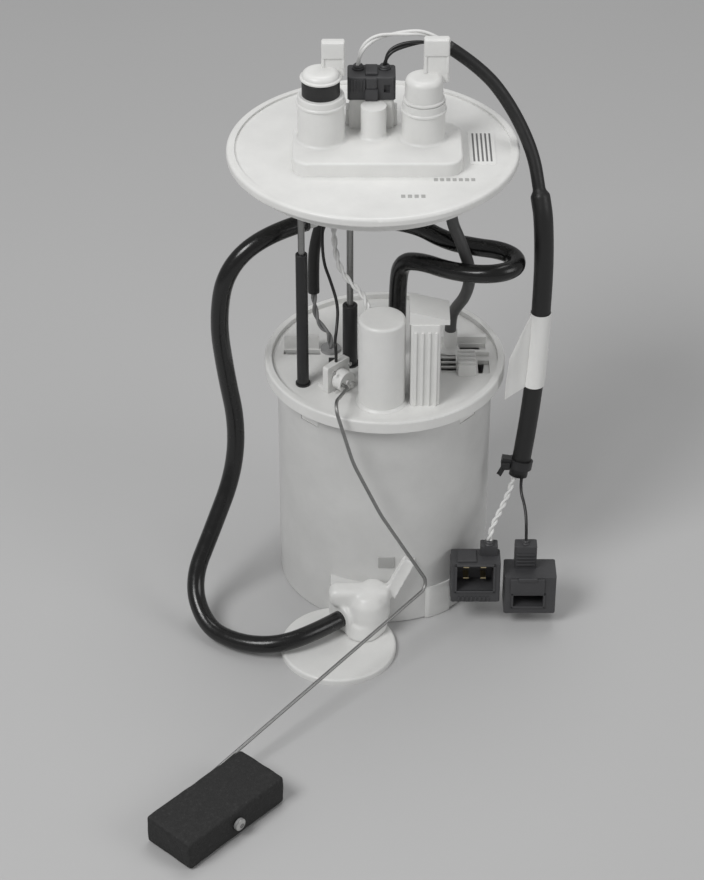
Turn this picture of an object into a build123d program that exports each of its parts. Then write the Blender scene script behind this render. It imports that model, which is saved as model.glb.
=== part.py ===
from build123d import *
from math import cos, pi, radians, sin, sqrt, tan
import os

os.makedirs("parts", exist_ok=True)

# All sizes in millimetres, +Z up. The origin is the centre of the reservoir pot's base.

# Clearances
running_fit = 0.08
soft_gap = 0.3
seat_gap = 0.1

# Reservoir pot
pot_radius = 55.5
pot_wall = 2.2
pot_floor = 3.0
pot_height = 127.0
pad_x = -13.0
pad_reach = 1.5
pad_width = 30.0
pad_top = 27.0
jet_hole_radius = 4.6
jet_hole_z = 17.0
jet_hole_depth = 12.0
snap_window_angles = (226, 319, 90, 150)
snap_window_width = 12.0
snap_window_height = 5.0
snap_window_drop = 9.0

# Pot cover
rim_overhang = 6.5
rim_height = 6.5
rim_width = 3.6
deck_thickness = 2.4
deck_recess = 2.5
skirt_wall = 1.8
skirt_depth = 14.0
snap_depth = 3.0
snap_reach = 0.6

# What stands on the deck
block_height = 6.5
bar_height = 4.0
deck_tab_height = 8.0
vent_post_radius = 3.6
vent_post_height = 12.0
vent_spigot_length = 6.0
grommet_place = (-28.0, 8.0)
grommet_radius = 4.0
grommet_lip = 1.2
grommet_lip_height = 1.6

# Flange
flange_x = -6.6
flange_y = 8.2
flange_lap = 8.8
flange_lift = 112.9
flange_thickness = 4.6
flange_rim_width = 4.0
flange_recess = 1.2
opening_gap = 1.5
ring_wall = 2.4
ring_depth = 7.0
platform_x = -4.5
platform_length = 83.0
platform_width = 43.0
platform_height = 6.0
platform_corner = 9.0

# Ports and their blanking plugs: return on the left, feed on the right
port_x = (-32.0, 18.0)
port_y = (5.0, 6.0)
collar_radius = (11.5, 10.6)
collar_height = (24.0, 20.0)
port_bore = 6.6
seal_radius = 9.3
seal_height = 8.0
plug_stem_length = 17.0
plug_height = (4.5, 5.0)
tab_width = (11.5, 12.6)
tab_thickness = 4.2
tab_shift_x = 6.0
tab_shift_y = 5.0
tab_height = (18.0, 23.0)

# Electrical header and its plug
header_x = -7.4
header_y = 21.2
header_length = 22.0
header_width = 13.0
header_height = 16.0
header_wall = 1.6
pin_width = 1.6
connector_length = 23.6
connector_width = 14.6
connector_height = 12.0
wire_pitch = 5.0
boss_x = -6.4
boss_y = 8.0
boss_radius = 6.3

# Guide rods of the flange and the tubes they slide in: left front, centre
guide_angle = 209.24
guide_wall_gap = 2.4
centre_guide = (-17.9, -4.9)
rod_radius = (1.7, 1.7)
tube_radius = (3.0, 3.8)
tube_height = (77.0, 36.0)
tube_depth = 33.0
tube_floor = 2.0
tube_lip = 0.8
tube_lip_height = 1.0
tube_foot = (-7.0, -1.0, 8.0, 6.0)
tube_foot_height = 2.4
rod_rise = 19.0
rod_seat = 2.0
rod_boss_radius = 5.0
rod_boss_depth = 6.0
spring_wire = 0.4
spring_turns = 9
clip_radius = 3.4
clip_thickness = 1.2

# Tower and filter box on the cover
tower_x = -2.0
tower_rim_gap = 8.6
tower_radius = 11.8
tower_height = 49.0
tower_wall = 1.8
tower_roof = 2.5
terminal_place = (-9.0, -25.6)
terminal_length = 7.0
terminal_width = 6.0
terminal_height = 10.0
terminal_rise = 30.0
regulator_height = 34.0
regulator_neck_radius = 4.0
regulator_neck_height = 9.0
box_x = 19.6
box_shift_y = 5.0
box_length = 14.8
box_width = 20.0
box_height = 47.5
box_wall = 1.6
lid_left = 11.6
lid_right = 31.4
lid_width = 18.6
lid_height = (7.5, 2.5)
rib_count = 4
rib_pitch = 3.4
rib_width = 1.2
rib_depth = 0.8
rib_drop = 4.0
element_gap = 4.0

# Pump inside the pot
pump_x = 8.0
pump_y = 12.0
pump_radius = 19.0
can_wall = 1.2
can_bottom = 22.0
can_height = 62.0
end_cap_height = 8.0
inlet_height = 9.0
outlet_x = 6.3
outlet_y = 5.0
outlet_radius = 4.0
outlet_bore = 1.9
outlet_rise = 27.0
shaft_radius = 1.6
shaft_end = 2.5
shaft_rise = 4.5
magnet_thickness = 3.0
magnet_inset = 14.0
magnet_gap = 9.0
armature_radius = 13.0
armature_inset = 16.0
slot_depth = 6.0
slot_width = 1.6
slot_count = 8
commutator_radius = 6.0
commutator_height = 9.0
commutator_drop = 14.0
brush_length = 8.0
brush_width = 4.0
brush_height = 12.0
brush_gap = 0.3
impeller_height = 4.0
impeller_gap = 1.0
vane_count = 24
vane_depth = 2.6
vane_width = 1.4
cover_spigot = 3.0
inlet_reach = 10.0
inlet_radius = 4.0
holder_wall = 2.0
holder_inset = 6.0
leg_count = 3
leg_length = 4.0
leg_width = 9.0
leg_overlap = 10.0
isolator_thickness = 1.6
isolator_height = 6.0
isolator_inset = 10.0
blade_thickness = 1.0
blade_width = 4.0
blade_rise = 7.0

# Hoses, tubes and wires
hose_radius = 4.6
hose_bore = 3.1
vent_radius = 3.0
vent_bore = 1.8
elbow_radius = 3.8
elbow_drop = 34.4
elbow_bend = 6.0
elbow_reach = 9.0
barb_length = 8.0
vent_start = (31.0, -9.0)
vent_drop = 10.4
sleeve_radius = 3.0
wire_radius = 0.8
pair_radius = 1.5
sheath_radius = 4.9
upper_sheath_radius = 3.2
label_thickness = 0.4
label_flag = 9.0
label_height = 46.0
label_start = 14.0
label_drop = 6.0
label_tail = 1.5
tie_wall = 1.3
tie_head_length = 6.0
tie_head_width = 5.0
tie_height = 4.6
tie_back = 9.0

# Jet pump and foot strainer
strainer_x = -24.0
strainer_reach = 19.0
strainer_radius = 30.0
strainer_height = 3.4
barrel_x = -23.0
barrel_reach = 9.0
barrel_z = 11.5
barrel_radius = 8.0
barrel_length = 17.0
slab_top = 29.0
slab_width = 32.0
slab_bottom = 6.0
slab_thickness = 3.5
slab_corner = 4.0
head_height = 11.2
head_depth = 9.0
head_round = 3.2
neck_x = -11.0
neck_radius = 9.5

# Level sender: the pivot of its arm, and the float at its lowest
pivot_x = -17.0
pivot_shift_y = 5.0
pivot_rise = 6.0
axis_x = 0.737
arm_wire_radius = 0.9
rotor_radius = 5.4
rotor_thickness = 5.6
axle_radius = 1.2
float_length = 64.0
float_width = 29.6
float_height = 16.0
float_rest = 0.6

# Derived values
rim_top = pot_height + rim_height
deck_top = rim_top - deck_recess
deck_bottom = deck_top - deck_thickness
rim_radius = pot_radius + rim_overhang
deck_edge = rim_radius - rim_width
ring_radius = rim_radius + opening_gap
flange_radius = ring_radius + flange_lap
tower_y = tower_radius + tower_rim_gap - deck_edge
box_y = tower_y + box_shift_y
pivot_y = tower_y + pivot_shift_y
vent_post = (deck_edge - 24.4, 8.5)
pad_front_y = -(pot_radius + pad_reach)
barrel_y = pad_front_y - barrel_reach
strainer_y = pad_front_y - strainer_reach
skirt_radius = pot_radius - pot_wall - soft_gap
flange_bottom = rim_top + flange_lift
flange_top = flange_bottom + flange_thickness
platform_top = flange_top + platform_height
collar_top = [platform_top + height for height in collar_height]
tab_top = [top + seal_height + height for top, height in zip(collar_top, tab_height)]
header_top = platform_top + header_height
connector_top = header_top + connector_height
elbow_z = flange_bottom - elbow_drop
vent_start_z = flange_bottom - vent_drop
guide_reach = pot_radius - pot_wall - tube_radius[0] - guide_wall_gap
guide_x = (guide_reach * cos(radians(guide_angle)), centre_guide[0])
guide_y = (guide_reach * sin(radians(guide_angle)), centre_guide[1])
tube_top = [deck_top + height for height in tube_height]
tube_bottom = deck_top - tube_depth
rod_bottom = deck_top + rod_rise
tower_top = deck_top + tower_height
terminal_top = deck_top + terminal_rise + terminal_height
box_top = deck_top + box_height
can_top = can_bottom + can_height
can_bore = pump_radius - can_wall
pump_top = can_top + end_cap_height
outlet_top = deck_top + outlet_rise
pivot_z = deck_top + pivot_rise
axis_y = -sqrt(1 - axis_x ** 2)
sender_plane = Plane(origin=(pivot_x, pivot_y, pivot_z), x_dir=(-axis_y, axis_x, 0), z_dir=(axis_x, axis_y, 0))


def finish(piece, name):
    piece.part.label = name
    export_step(piece.part, f"parts/{name}.step")


def bend_radii(points):
    radii = []
    for before, here, after in zip(points, points[1:], points[2:]):
        arriving = Vector(*here) - Vector(*before)
        leaving = Vector(*after) - Vector(*here)
        half_turn = radians(arriving.get_angle(leaving)) / 2
        radii.append(0.45 * min(arriving.length, leaving.length) / tan(half_turn))
    return radii


def run_cord(name, points, outer, bore=0.0):
    radii = bend_radii(points)
    with BuildPart() as cord:
        with BuildLine() as route:
            FilletPolyline(*points, radius=radii)
        with BuildSketch(Plane(origin=route.line @ 0, z_dir=route.line % 0)):
            Circle(outer)
            if bore:
                Circle(bore, mode=Mode.SUBTRACT)
        sweep(path=route.line)
    length = route.wire().length
    ratio = cord.part.volume / (pi * (outer ** 2 - bore ** 2) * length)
    print(f"{name}: length {length:.1f}, radii {[round(r, 1) for r in radii]}, volume ratio {ratio:.4f}")
    finish(cord, name)


# On the deck and cut in it, each with its middle x and y, its length and its width
deck_block = (deck_edge - 16.4, -9.0, 9.0, 15.0)
deck_bar = (deck_edge - 17.4, 15.8, 24.0, 3.0)
deck_tab = (15.4 - deck_edge, 9.9, 18.0, 2.2)
deck_window = (deck_edge - 25.6, -4.2, 7.9, 17.4)
deck_notch = (deck_edge - 7.6, -8.0, 6.0, 12.0)
deck_slot_right = (deck_edge - 12.9, 11.0, 14.0, 5.5)
deck_slot_left = (15.6 - deck_edge, 5.8, 19.0, 4.2)

# Reservoir pot: the pad in front carries the jet pump, the windows take the cover's snaps
with BuildPart() as pot:
    with BuildSketch():
        Circle(pot_radius)
    extrude(amount=pot_height)
    fillet(pot.edges().group_by(Axis.Z)[0], 1.2)
    with BuildSketch():
        with Locations((pad_x, pad_front_y / 2)):
            Rectangle(pad_width, -pad_front_y)
    extrude(amount=pad_top)
    with BuildSketch(Plane.XY.offset(pot_floor)):
        Circle(pot_radius - pot_wall)
    extrude(amount=pot_height, mode=Mode.SUBTRACT)
    for angle in snap_window_angles:
        with BuildSketch(Plane.XY.offset(pot_height - snap_window_drop)):
            with PolarLocations(pot_radius, 1, start_angle=angle):
                Rectangle(4 * pot_wall, snap_window_width)
        extrude(amount=snap_window_height, mode=Mode.SUBTRACT)
    with BuildSketch(Plane(origin=(pad_x, pad_front_y, jet_hole_z), x_dir=(1, 0, 0), z_dir=(0, 1, 0))):
        Circle(jet_hole_radius)
    extrude(amount=jet_hole_depth, mode=Mode.SUBTRACT)
finish(pot, "pot")

# Cover: rim ring, recessed deck with its cut-outs, and a skirt with snaps inside the pot
with BuildPart() as cover:
    with BuildSketch(Plane.XY.offset(pot_height)):
        Circle(rim_radius)
    extrude(amount=rim_height)
    fillet(cover.edges().group_by(Axis.Z)[-1], 1.2)
    with BuildSketch(Plane.XY.offset(deck_top)):
        Circle(rim_radius - rim_width)
    extrude(amount=rim_height, mode=Mode.SUBTRACT)
    with BuildSketch(Plane.XY.offset(pot_height)):
        Circle(skirt_radius - skirt_wall)
    extrude(amount=deck_bottom - pot_height, mode=Mode.SUBTRACT)
    with BuildSketch(Plane.XY.offset(pot_height)):
        Circle(skirt_radius)
        Circle(skirt_radius - skirt_wall, mode=Mode.SUBTRACT)
    extrude(amount=-skirt_depth)
    for angle in snap_window_angles:
        with BuildSketch(Plane.XY.offset(pot_height - snap_window_drop + soft_gap)):
            with PolarLocations(skirt_radius + snap_reach, 1, start_angle=angle):
                Rectangle(snap_depth, snap_window_width - 2 * soft_gap)
        extrude(amount=snap_window_height - 2 * soft_gap)
    for (x, y, length, width), height in (
        (deck_block, block_height),
        (deck_bar, bar_height),
        (deck_tab, deck_tab_height),
    ):
        with BuildSketch(Plane.XY.offset(deck_top)):
            with Locations((x, y)):
                Rectangle(length, width)
        extrude(amount=height)
    with BuildSketch(Plane.XY.offset(deck_top)):
        with Locations(vent_post):
            Circle(vent_post_radius)
    extrude(amount=vent_post_height)
    with BuildSketch(Plane.XY.offset(deck_top + vent_post_height)):
        with Locations(vent_post):
            Circle(vent_bore - seat_gap)
    extrude(amount=vent_spigot_length)
    for x, y, length, width in (deck_window, deck_notch, deck_slot_right, deck_slot_left):
        with BuildSketch(Plane.XY.offset(deck_bottom)):
            with Locations((x, y)):
                Rectangle(length, width)
        extrude(amount=rim_height, mode=Mode.SUBTRACT)
    for x, y, radius in zip(guide_x, guide_y, tube_radius):
        with BuildSketch(Plane.XY.offset(pot_height - skirt_depth)):
            with Locations((x, y)):
                Circle(radius + seat_gap)
        extrude(amount=skirt_depth + rim_height, mode=Mode.SUBTRACT)
    with BuildSketch(Plane.XY.offset(deck_bottom)):
        with Locations((outlet_x, outlet_y)):
            Circle(outlet_radius + soft_gap)
        with Locations(grommet_place):
            Circle(grommet_radius + seat_gap)
    extrude(amount=rim_height, mode=Mode.SUBTRACT)
finish(cover, "pot_cover")

# Grommet where the pump wires go down through the deck
with BuildPart() as grommet:
    with BuildSketch(Plane.XY.offset(deck_bottom)):
        with Locations(grommet_place):
            Circle(grommet_radius)
    extrude(amount=deck_thickness)
    with BuildSketch(Plane.XY.offset(deck_top)):
        with Locations(grommet_place):
            Circle(grommet_radius + grommet_lip)
    extrude(amount=grommet_lip_height)
finish(grommet, "wire_grommet")

# Guide tubes with closed lower ends, their springs, and the foot of the centre tube
for index, side in enumerate(("left", "centre")):
    bore = rod_radius[index] + soft_gap
    middle = (guide_x[index], guide_y[index])
    with BuildPart() as tube:
        with BuildSketch(Plane.XY.offset(tube_bottom)):
            with Locations(middle):
                Circle(tube_radius[index])
        extrude(amount=tube_top[index] - tube_bottom)
        fillet(tube.edges().group_by(Axis.Z)[-1], 0.5)
        with BuildSketch(Plane.XY.offset(tube_bottom + tube_floor)):
            with Locations(middle):
                Circle(bore)
        extrude(amount=tube_top[index], mode=Mode.SUBTRACT)
        with BuildSketch(Plane.XY.offset(deck_top)):
            with Locations(middle):
                Circle(tube_radius[index] + tube_lip)
                Circle(bore, mode=Mode.SUBTRACT)
        extrude(amount=tube_lip_height)
        if side == "centre":
            with BuildSketch(Plane.XY.offset(deck_top)):
                with Locations((guide_x[index] + tube_foot[0], guide_y[index] + tube_foot[1])):
                    Rectangle(tube_foot[2], tube_foot[3])
            extrude(amount=tube_foot_height)
    finish(tube, f"guide_tube_{side}")

    coil_height = rod_bottom - tube_bottom - tube_floor - 2 * seat_gap - 2 * spring_wire
    with BuildPart() as spring:
        with BuildLine() as coil:
            Helix(
                pitch=coil_height / spring_turns,
                height=coil_height,
                radius=rod_radius[index] - spring_wire,
                center=(*middle, tube_bottom + tube_floor + seat_gap + spring_wire),
            )
        with BuildSketch(Plane(origin=coil.line @ 0, z_dir=coil.line % 0)):
            Circle(spring_wire)
        sweep(path=coil.line, is_frenet=True)
    finish(spring, f"guide_spring_{side}")

# Tower with the regulator inside, and the ribbed filter box beside it
with BuildPart() as tower:
    with BuildSketch(Plane.XY.offset(deck_top)):
        with Locations((tower_x, tower_y)):
            Circle(tower_radius)
    extrude(amount=tower_top - deck_top)
    fillet(tower.edges().group_by(Axis.Z)[-1], 1.5)
    with BuildSketch(Plane.XY.offset(deck_top)):
        with Locations((tower_x, tower_y)):
            Circle(tower_radius - tower_wall)
    extrude(amount=tower_height - tower_roof, mode=Mode.SUBTRACT)
    with BuildSketch(Plane.XY.offset(deck_top + terminal_rise)):
        with Locations(terminal_place):
            Rectangle(terminal_length, terminal_width)
        with Locations((tower_x, tower_y)):
            Circle(tower_radius - tower_wall, mode=Mode.SUBTRACT)
    extrude(amount=terminal_height)
finish(tower, "regulator_tower")

with BuildPart() as regulator:
    with BuildSketch(Plane.XY.offset(deck_top)):
        with Locations((tower_x, tower_y)):
            Circle(tower_radius - tower_wall - seat_gap)
    extrude(amount=regulator_height)
    fillet(regulator.edges().group_by(Axis.Z)[-1], 2.0)
    with BuildSketch(Plane.XY.offset(deck_top + regulator_height)):
        with Locations((tower_x, tower_y)):
            Circle(regulator_neck_radius)
    extrude(amount=regulator_neck_height)
finish(regulator, "pressure_regulator")

with BuildPart() as filter_box:
    with BuildSketch(Plane.XY.offset(deck_top)):
        with Locations((box_x, box_y)):
            RectangleRounded(box_length, box_width, 1.5)
    extrude(amount=box_height)
    with BuildSketch(Plane(origin=(0, box_y - lid_width / 2, box_top), x_dir=(1, 0, 0), z_dir=(0, -1, 0))):
        with BuildLine():
            Polyline((lid_left, 0), (lid_right, 0), (lid_right, lid_height[1]), (lid_left, lid_height[0]), close=True)
        make_face()
    extrude(amount=-lid_width)
    for index in range(rib_count):
        with BuildSketch(Plane.XY.offset(deck_top)):
            with Locations((box_x + (index - (rib_count - 1) / 2) * rib_pitch, box_y - box_width / 2)):
                Rectangle(rib_width, 2 * rib_depth)
        extrude(amount=box_height - rib_drop)
    with BuildSketch(Plane.XY.offset(deck_top)):
        with Locations((box_x, box_y)):
            RectangleRounded(box_length - 2 * box_wall, box_width - 2 * box_wall, 1.0)
    extrude(amount=box_height - box_wall, mode=Mode.SUBTRACT)
finish(filter_box, "filter_box")

with BuildPart() as element:
    with BuildSketch(Plane.XY.offset(deck_top)):
        with Locations((box_x, box_y)):
            RectangleRounded(box_length - 2 * box_wall - 2 * soft_gap, box_width - 2 * box_wall - 2 * soft_gap, 1.0)
    extrude(amount=box_height - box_wall - element_gap)
finish(element, "filter_element")

# Holder that hangs from the cover and carries the pump on rubber
holder_bore = pump_radius + isolator_thickness + seat_gap
with BuildPart() as holder:
    with BuildSketch(Plane.XY.offset(can_bottom + holder_inset)):
        with Locations((pump_x, pump_y)):
            Circle(holder_bore + holder_wall)
            Circle(holder_bore, mode=Mode.SUBTRACT)
    extrude(amount=can_height - 2 * holder_inset)
    with BuildSketch(Plane.XY.offset(can_top - leg_overlap)):
        with Locations((pump_x, pump_y)):
            with PolarLocations(holder_bore + holder_wall + 1.4, leg_count, start_angle=20):
                Rectangle(leg_length, leg_width)
    extrude(amount=deck_bottom - can_top + leg_overlap)
finish(holder, "pump_holder")

with BuildPart() as isolator:
    for height in (can_bottom + isolator_inset, can_top - isolator_inset - isolator_height):
        with BuildSketch(Plane.XY.offset(height)):
            with Locations((pump_x, pump_y)):
                Circle(pump_radius + isolator_thickness)
                Circle(pump_radius + seat_gap / 2, mode=Mode.SUBTRACT)
        extrude(amount=isolator_height)
finish(isolator, "rubber_isolators")

# Pump: can with its magnets, inlet cover below, end cap with the outlet above
with BuildPart() as can:
    with BuildSketch(Plane.XY.offset(can_bottom)):
        with Locations((pump_x, pump_y)):
            Circle(pump_radius)
            Circle(can_bore, mode=Mode.SUBTRACT)
    extrude(amount=can_height)
finish(can, "pump_can")

with BuildPart() as magnets:
    with BuildSketch(Plane.XY.offset(can_bottom + magnet_inset)):
        with Locations((pump_x, pump_y)):
            Circle(can_bore - seat_gap / 2)
            Circle(can_bore - magnet_thickness, mode=Mode.SUBTRACT)
            Rectangle(magnet_gap, 2 * pump_radius, mode=Mode.SUBTRACT)
    extrude(amount=can_height - 2 * magnet_inset)
finish(magnets, "pump_magnets")

with BuildPart() as inlet_cover:
    with BuildSketch(Plane.XY.offset(can_bottom - inlet_height)):
        with Locations((pump_x, pump_y)):
            Circle(pump_radius)
    extrude(amount=inlet_height)
    with BuildSketch(Plane.XY.offset(can_bottom)):
        with Locations((pump_x, pump_y)):
            Circle(can_bore - seat_gap / 2)
            Circle(shaft_radius + running_fit, mode=Mode.SUBTRACT)
    extrude(amount=cover_spigot)
    with BuildSketch(Plane.XY.offset(can_bottom - shaft_end - 0.5)):
        with Locations((pump_x, pump_y)):
            Circle(shaft_radius + running_fit)
    extrude(amount=shaft_end + 0.5, mode=Mode.SUBTRACT)
    with BuildSketch(Plane.XY.offset(can_bottom - inlet_height)):
        with Locations((pump_x + inlet_reach, pump_y)):
            Circle(inlet_radius)
    extrude(amount=inlet_height + cover_spigot, mode=Mode.SUBTRACT)
finish(inlet_cover, "pump_inlet_cover")

with BuildPart() as inlet_sock:
    with BuildSketch(Plane.XY.offset(pot_floor + 1)):
        with Locations((pump_x + inlet_reach, pump_y)):
            RectangleRounded(36, 24, 8)
    extrude(amount=can_bottom - inlet_height - pot_floor - 3)
    with BuildSketch(Plane.XY.offset(can_bottom - inlet_height - 2)):
        with Locations((pump_x + inlet_reach, pump_y)):
            Circle(inlet_radius + 2)
            Circle(inlet_radius - 1, mode=Mode.SUBTRACT)
    extrude(amount=2)
finish(inlet_sock, "inlet_filter")

with BuildPart() as end_cap:
    with BuildSketch(Plane.XY.offset(can_top)):
        with Locations((pump_x, pump_y)):
            Circle(pump_radius)
    extrude(amount=end_cap_height)
    fillet(end_cap.edges().group_by(Axis.Z)[-1], 1.5)
    with BuildSketch(Plane.XY.offset(pump_top)):
        with Locations((outlet_x, outlet_y)):
            Circle(outlet_radius)
    extrude(amount=outlet_top - barb_length - pump_top)
    with BuildSketch(Plane.XY.offset(outlet_top - barb_length)):
        with Locations((outlet_x, outlet_y)):
            Circle(hose_bore - seat_gap)
    extrude(amount=barb_length)
    with BuildSketch(Plane.XY.offset(can_top)):
        with Locations((outlet_x, outlet_y)):
            Circle(outlet_bore)
    extrude(amount=outlet_top, mode=Mode.SUBTRACT)
    with BuildSketch(Plane.XY.offset(can_top)):
        with Locations((pump_x, pump_y)):
            Circle(shaft_radius + running_fit)
    extrude(amount=shaft_rise + 0.5, mode=Mode.SUBTRACT)
    with BuildSketch(Plane.XY.offset(can_top)):
        with Locations((pump_x - 7, pump_y + 9), (pump_x + 9, pump_y + 9)):
            Rectangle(blade_thickness, blade_width)
    extrude(amount=end_cap_height, mode=Mode.SUBTRACT)
finish(end_cap, "pump_end_cap")

with BuildPart() as terminals:
    with BuildSketch(Plane.XY.offset(can_top)):
        with Locations((pump_x - 7, pump_y + 9), (pump_x + 9, pump_y + 9)):
            Rectangle(blade_thickness - seat_gap, blade_width - seat_gap)
    extrude(amount=end_cap_height + blade_rise)
finish(terminals, "pump_terminals")

# Turning pieces of the pump on one shaft
with BuildPart() as shaft:
    with BuildSketch(Plane.XY.offset(can_bottom - shaft_end)):
        with Locations((pump_x, pump_y)):
            Circle(shaft_radius)
    extrude(amount=shaft_end + can_height + shaft_rise)
finish(shaft, "pump_shaft")

with BuildPart() as impeller:
    with BuildSketch(Plane.XY.offset(can_bottom + cover_spigot + soft_gap)):
        with Locations((pump_x, pump_y)):
            Circle(can_bore - impeller_gap)
            with PolarLocations(can_bore - impeller_gap - 2.2, vane_count):
                Rectangle(vane_depth, vane_width, mode=Mode.SUBTRACT)
            Circle(shaft_radius + seat_gap / 2, mode=Mode.SUBTRACT)
    extrude(amount=impeller_height)
finish(impeller, "pump_impeller")

with BuildPart() as armature:
    with BuildSketch(Plane.XY.offset(can_bottom + armature_inset)):
        with Locations((pump_x, pump_y)):
            Circle(armature_radius)
            with PolarLocations(armature_radius - 2, slot_count):
                Rectangle(slot_depth, slot_width, mode=Mode.SUBTRACT)
            Circle(shaft_radius + seat_gap / 2, mode=Mode.SUBTRACT)
    extrude(amount=can_height - 2 * armature_inset)
finish(armature, "pump_armature")

with BuildPart() as commutator:
    with BuildSketch(Plane.XY.offset(can_top - commutator_drop)):
        with Locations((pump_x, pump_y)):
            Circle(commutator_radius)
            Circle(shaft_radius + seat_gap / 2, mode=Mode.SUBTRACT)
    extrude(amount=commutator_height)
finish(commutator, "pump_commutator")

brush_reach = commutator_radius + brush_gap + brush_length / 2
with BuildPart() as brushes:
    with BuildSketch(Plane.XY.offset(can_top - brush_height)):
        with Locations((pump_x - brush_reach, pump_y), (pump_x + brush_reach, pump_y)):
            Rectangle(brush_length, brush_width)
    extrude(amount=brush_height)
finish(brushes, "pump_brushes")

# Jet pump on the pad, its nozzle through the pot wall, and the foot strainer in front
barrel_plane = Plane(origin=(barrel_x, barrel_y, barrel_z), x_dir=(0, 0, 1), z_dir=(0.77, 0.64, 0))
with BuildPart() as jet_pump:
    slab_middle = (slab_top + slab_bottom) / 2
    with BuildSketch(Plane(origin=(pad_x, pad_front_y, slab_middle), x_dir=(1, 0, 0), z_dir=(0, -1, 0))):
        RectangleRounded(slab_width, slab_top - slab_bottom, slab_corner)
    extrude(amount=slab_thickness)
    head_middle = slab_top - head_height / 2
    with BuildSketch(Plane(origin=(pad_x, pad_front_y, head_middle), x_dir=(1, 0, 0), z_dir=(0, -1, 0))):
        RectangleRounded(slab_width, head_height, slab_corner)
    extrude(amount=head_depth)
    fillet(jet_pump.faces().sort_by(Axis.Y)[0].edges(), head_round)
    with BuildSketch(barrel_plane):
        Circle(barrel_radius)
    extrude(amount=barrel_length)
    with BuildSketch(Plane.XY.offset(strainer_height)):
        with Locations((neck_x, barrel_y - 1)):
            Circle(neck_radius)
    extrude(amount=barrel_z - strainer_height, taper=14)
    with BuildSketch(Plane(origin=(pad_x, pad_front_y, 0), x_dir=(1, 0, 0), z_dir=(0, 1, 0))):
        Rectangle(3 * slab_width, 3 * slab_top)
    extrude(amount=slab_width, mode=Mode.SUBTRACT)
    with BuildSketch(Plane(origin=(pad_x, pad_front_y, jet_hole_z), x_dir=(1, 0, 0), z_dir=(0, 1, 0))):
        Circle(jet_hole_radius - seat_gap)
    extrude(amount=jet_hole_depth - 3)
    with BuildSketch(barrel_plane):
        Circle(hose_bore - seat_gap)
    extrude(amount=-barb_length)
finish(jet_pump, "jet_pump_body")

with BuildPart() as strainer:
    with BuildSketch():
        with Locations((strainer_x, strainer_y)):
            Circle(strainer_radius)
        Circle(pot_radius + seat_gap, mode=Mode.SUBTRACT)
        with Locations((pad_x, pad_front_y / 2)):
            Rectangle(pad_width + 2 * seat_gap, -pad_front_y + 2 * seat_gap, mode=Mode.SUBTRACT)
    extrude(amount=strainer_height)
    fillet(strainer.edges().group_by(Axis.Z)[-1].sort_by(Axis.Y)[0], 1.2)
finish(strainer, "foot_strainer")

# Flange: disc with a raised edge, platform, port collars, header boss and the parts below
with BuildPart() as flange:
    with BuildSketch(Plane.XY.offset(flange_bottom)):
        with Locations((flange_x, flange_y)):
            Circle(flange_radius)
    extrude(amount=flange_thickness)
    fillet(flange.edges().group_by(Axis.Z)[-1], 1.6)
    fillet(flange.edges().group_by(Axis.Z)[0], 1.0)
    with BuildSketch(Plane.XY.offset(flange_top - flange_recess)):
        with Locations((flange_x, flange_y)):
            Circle(flange_radius - flange_rim_width)
    extrude(amount=2 * flange_recess, mode=Mode.SUBTRACT)
    with BuildSketch(Plane.XY.offset(flange_top - flange_recess)):
        with Locations((platform_x, 0)):
            RectangleRounded(platform_length, platform_width, platform_corner)
        with Locations((header_x, header_y)):
            RectangleRounded(header_length + 6, header_width + 6, 3)
    extrude(amount=flange_recess + platform_height)
    fillet(flange.edges().group_by(Axis.Z)[-1], 1.2)
    for x, y, radius, top in zip(port_x, port_y, collar_radius, collar_top):
        with BuildSketch(Plane.XY.offset(platform_top)):
            with Locations((x, y)):
                Circle(radius)
        extrude(amount=top - platform_top)
    with BuildSketch(Plane.XY.offset(platform_top)):
        with Locations((boss_x, boss_y)):
            Circle(boss_radius)
    extrude(amount=header_height)
    fillet(flange.faces().filter_by(GeomType.PLANE).group_by(Axis.Z)[-1].edges(), 0.8)
    with BuildSketch(Plane.XY.offset(flange_bottom)):
        with Locations((flange_x, flange_y)):
            Circle(ring_radius)
            Circle(ring_radius - ring_wall, mode=Mode.SUBTRACT)
    extrude(amount=-ring_depth)
    with BuildSketch(Plane.XY.offset(flange_bottom)):
        with Locations(*zip(guide_x, guide_y)):
            Circle(rod_boss_radius)
    extrude(amount=-rod_boss_depth)
    for x, y, top in zip(port_x, port_y, collar_top):
        with BuildSketch(Plane.XY.offset(flange_bottom + 2)):
            with Locations((x, y)):
                Circle(port_bore)
        extrude(amount=top, mode=Mode.SUBTRACT)
    for x, y, radius in zip(guide_x, guide_y, rod_radius):
        with BuildSketch(Plane.XY.offset(flange_bottom - rod_boss_depth)):
            with Locations((x, y)):
                Circle(radius + seat_gap / 2)
        extrude(amount=rod_boss_depth + rod_seat, mode=Mode.SUBTRACT)
finish(flange, "flange_plate")

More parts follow.
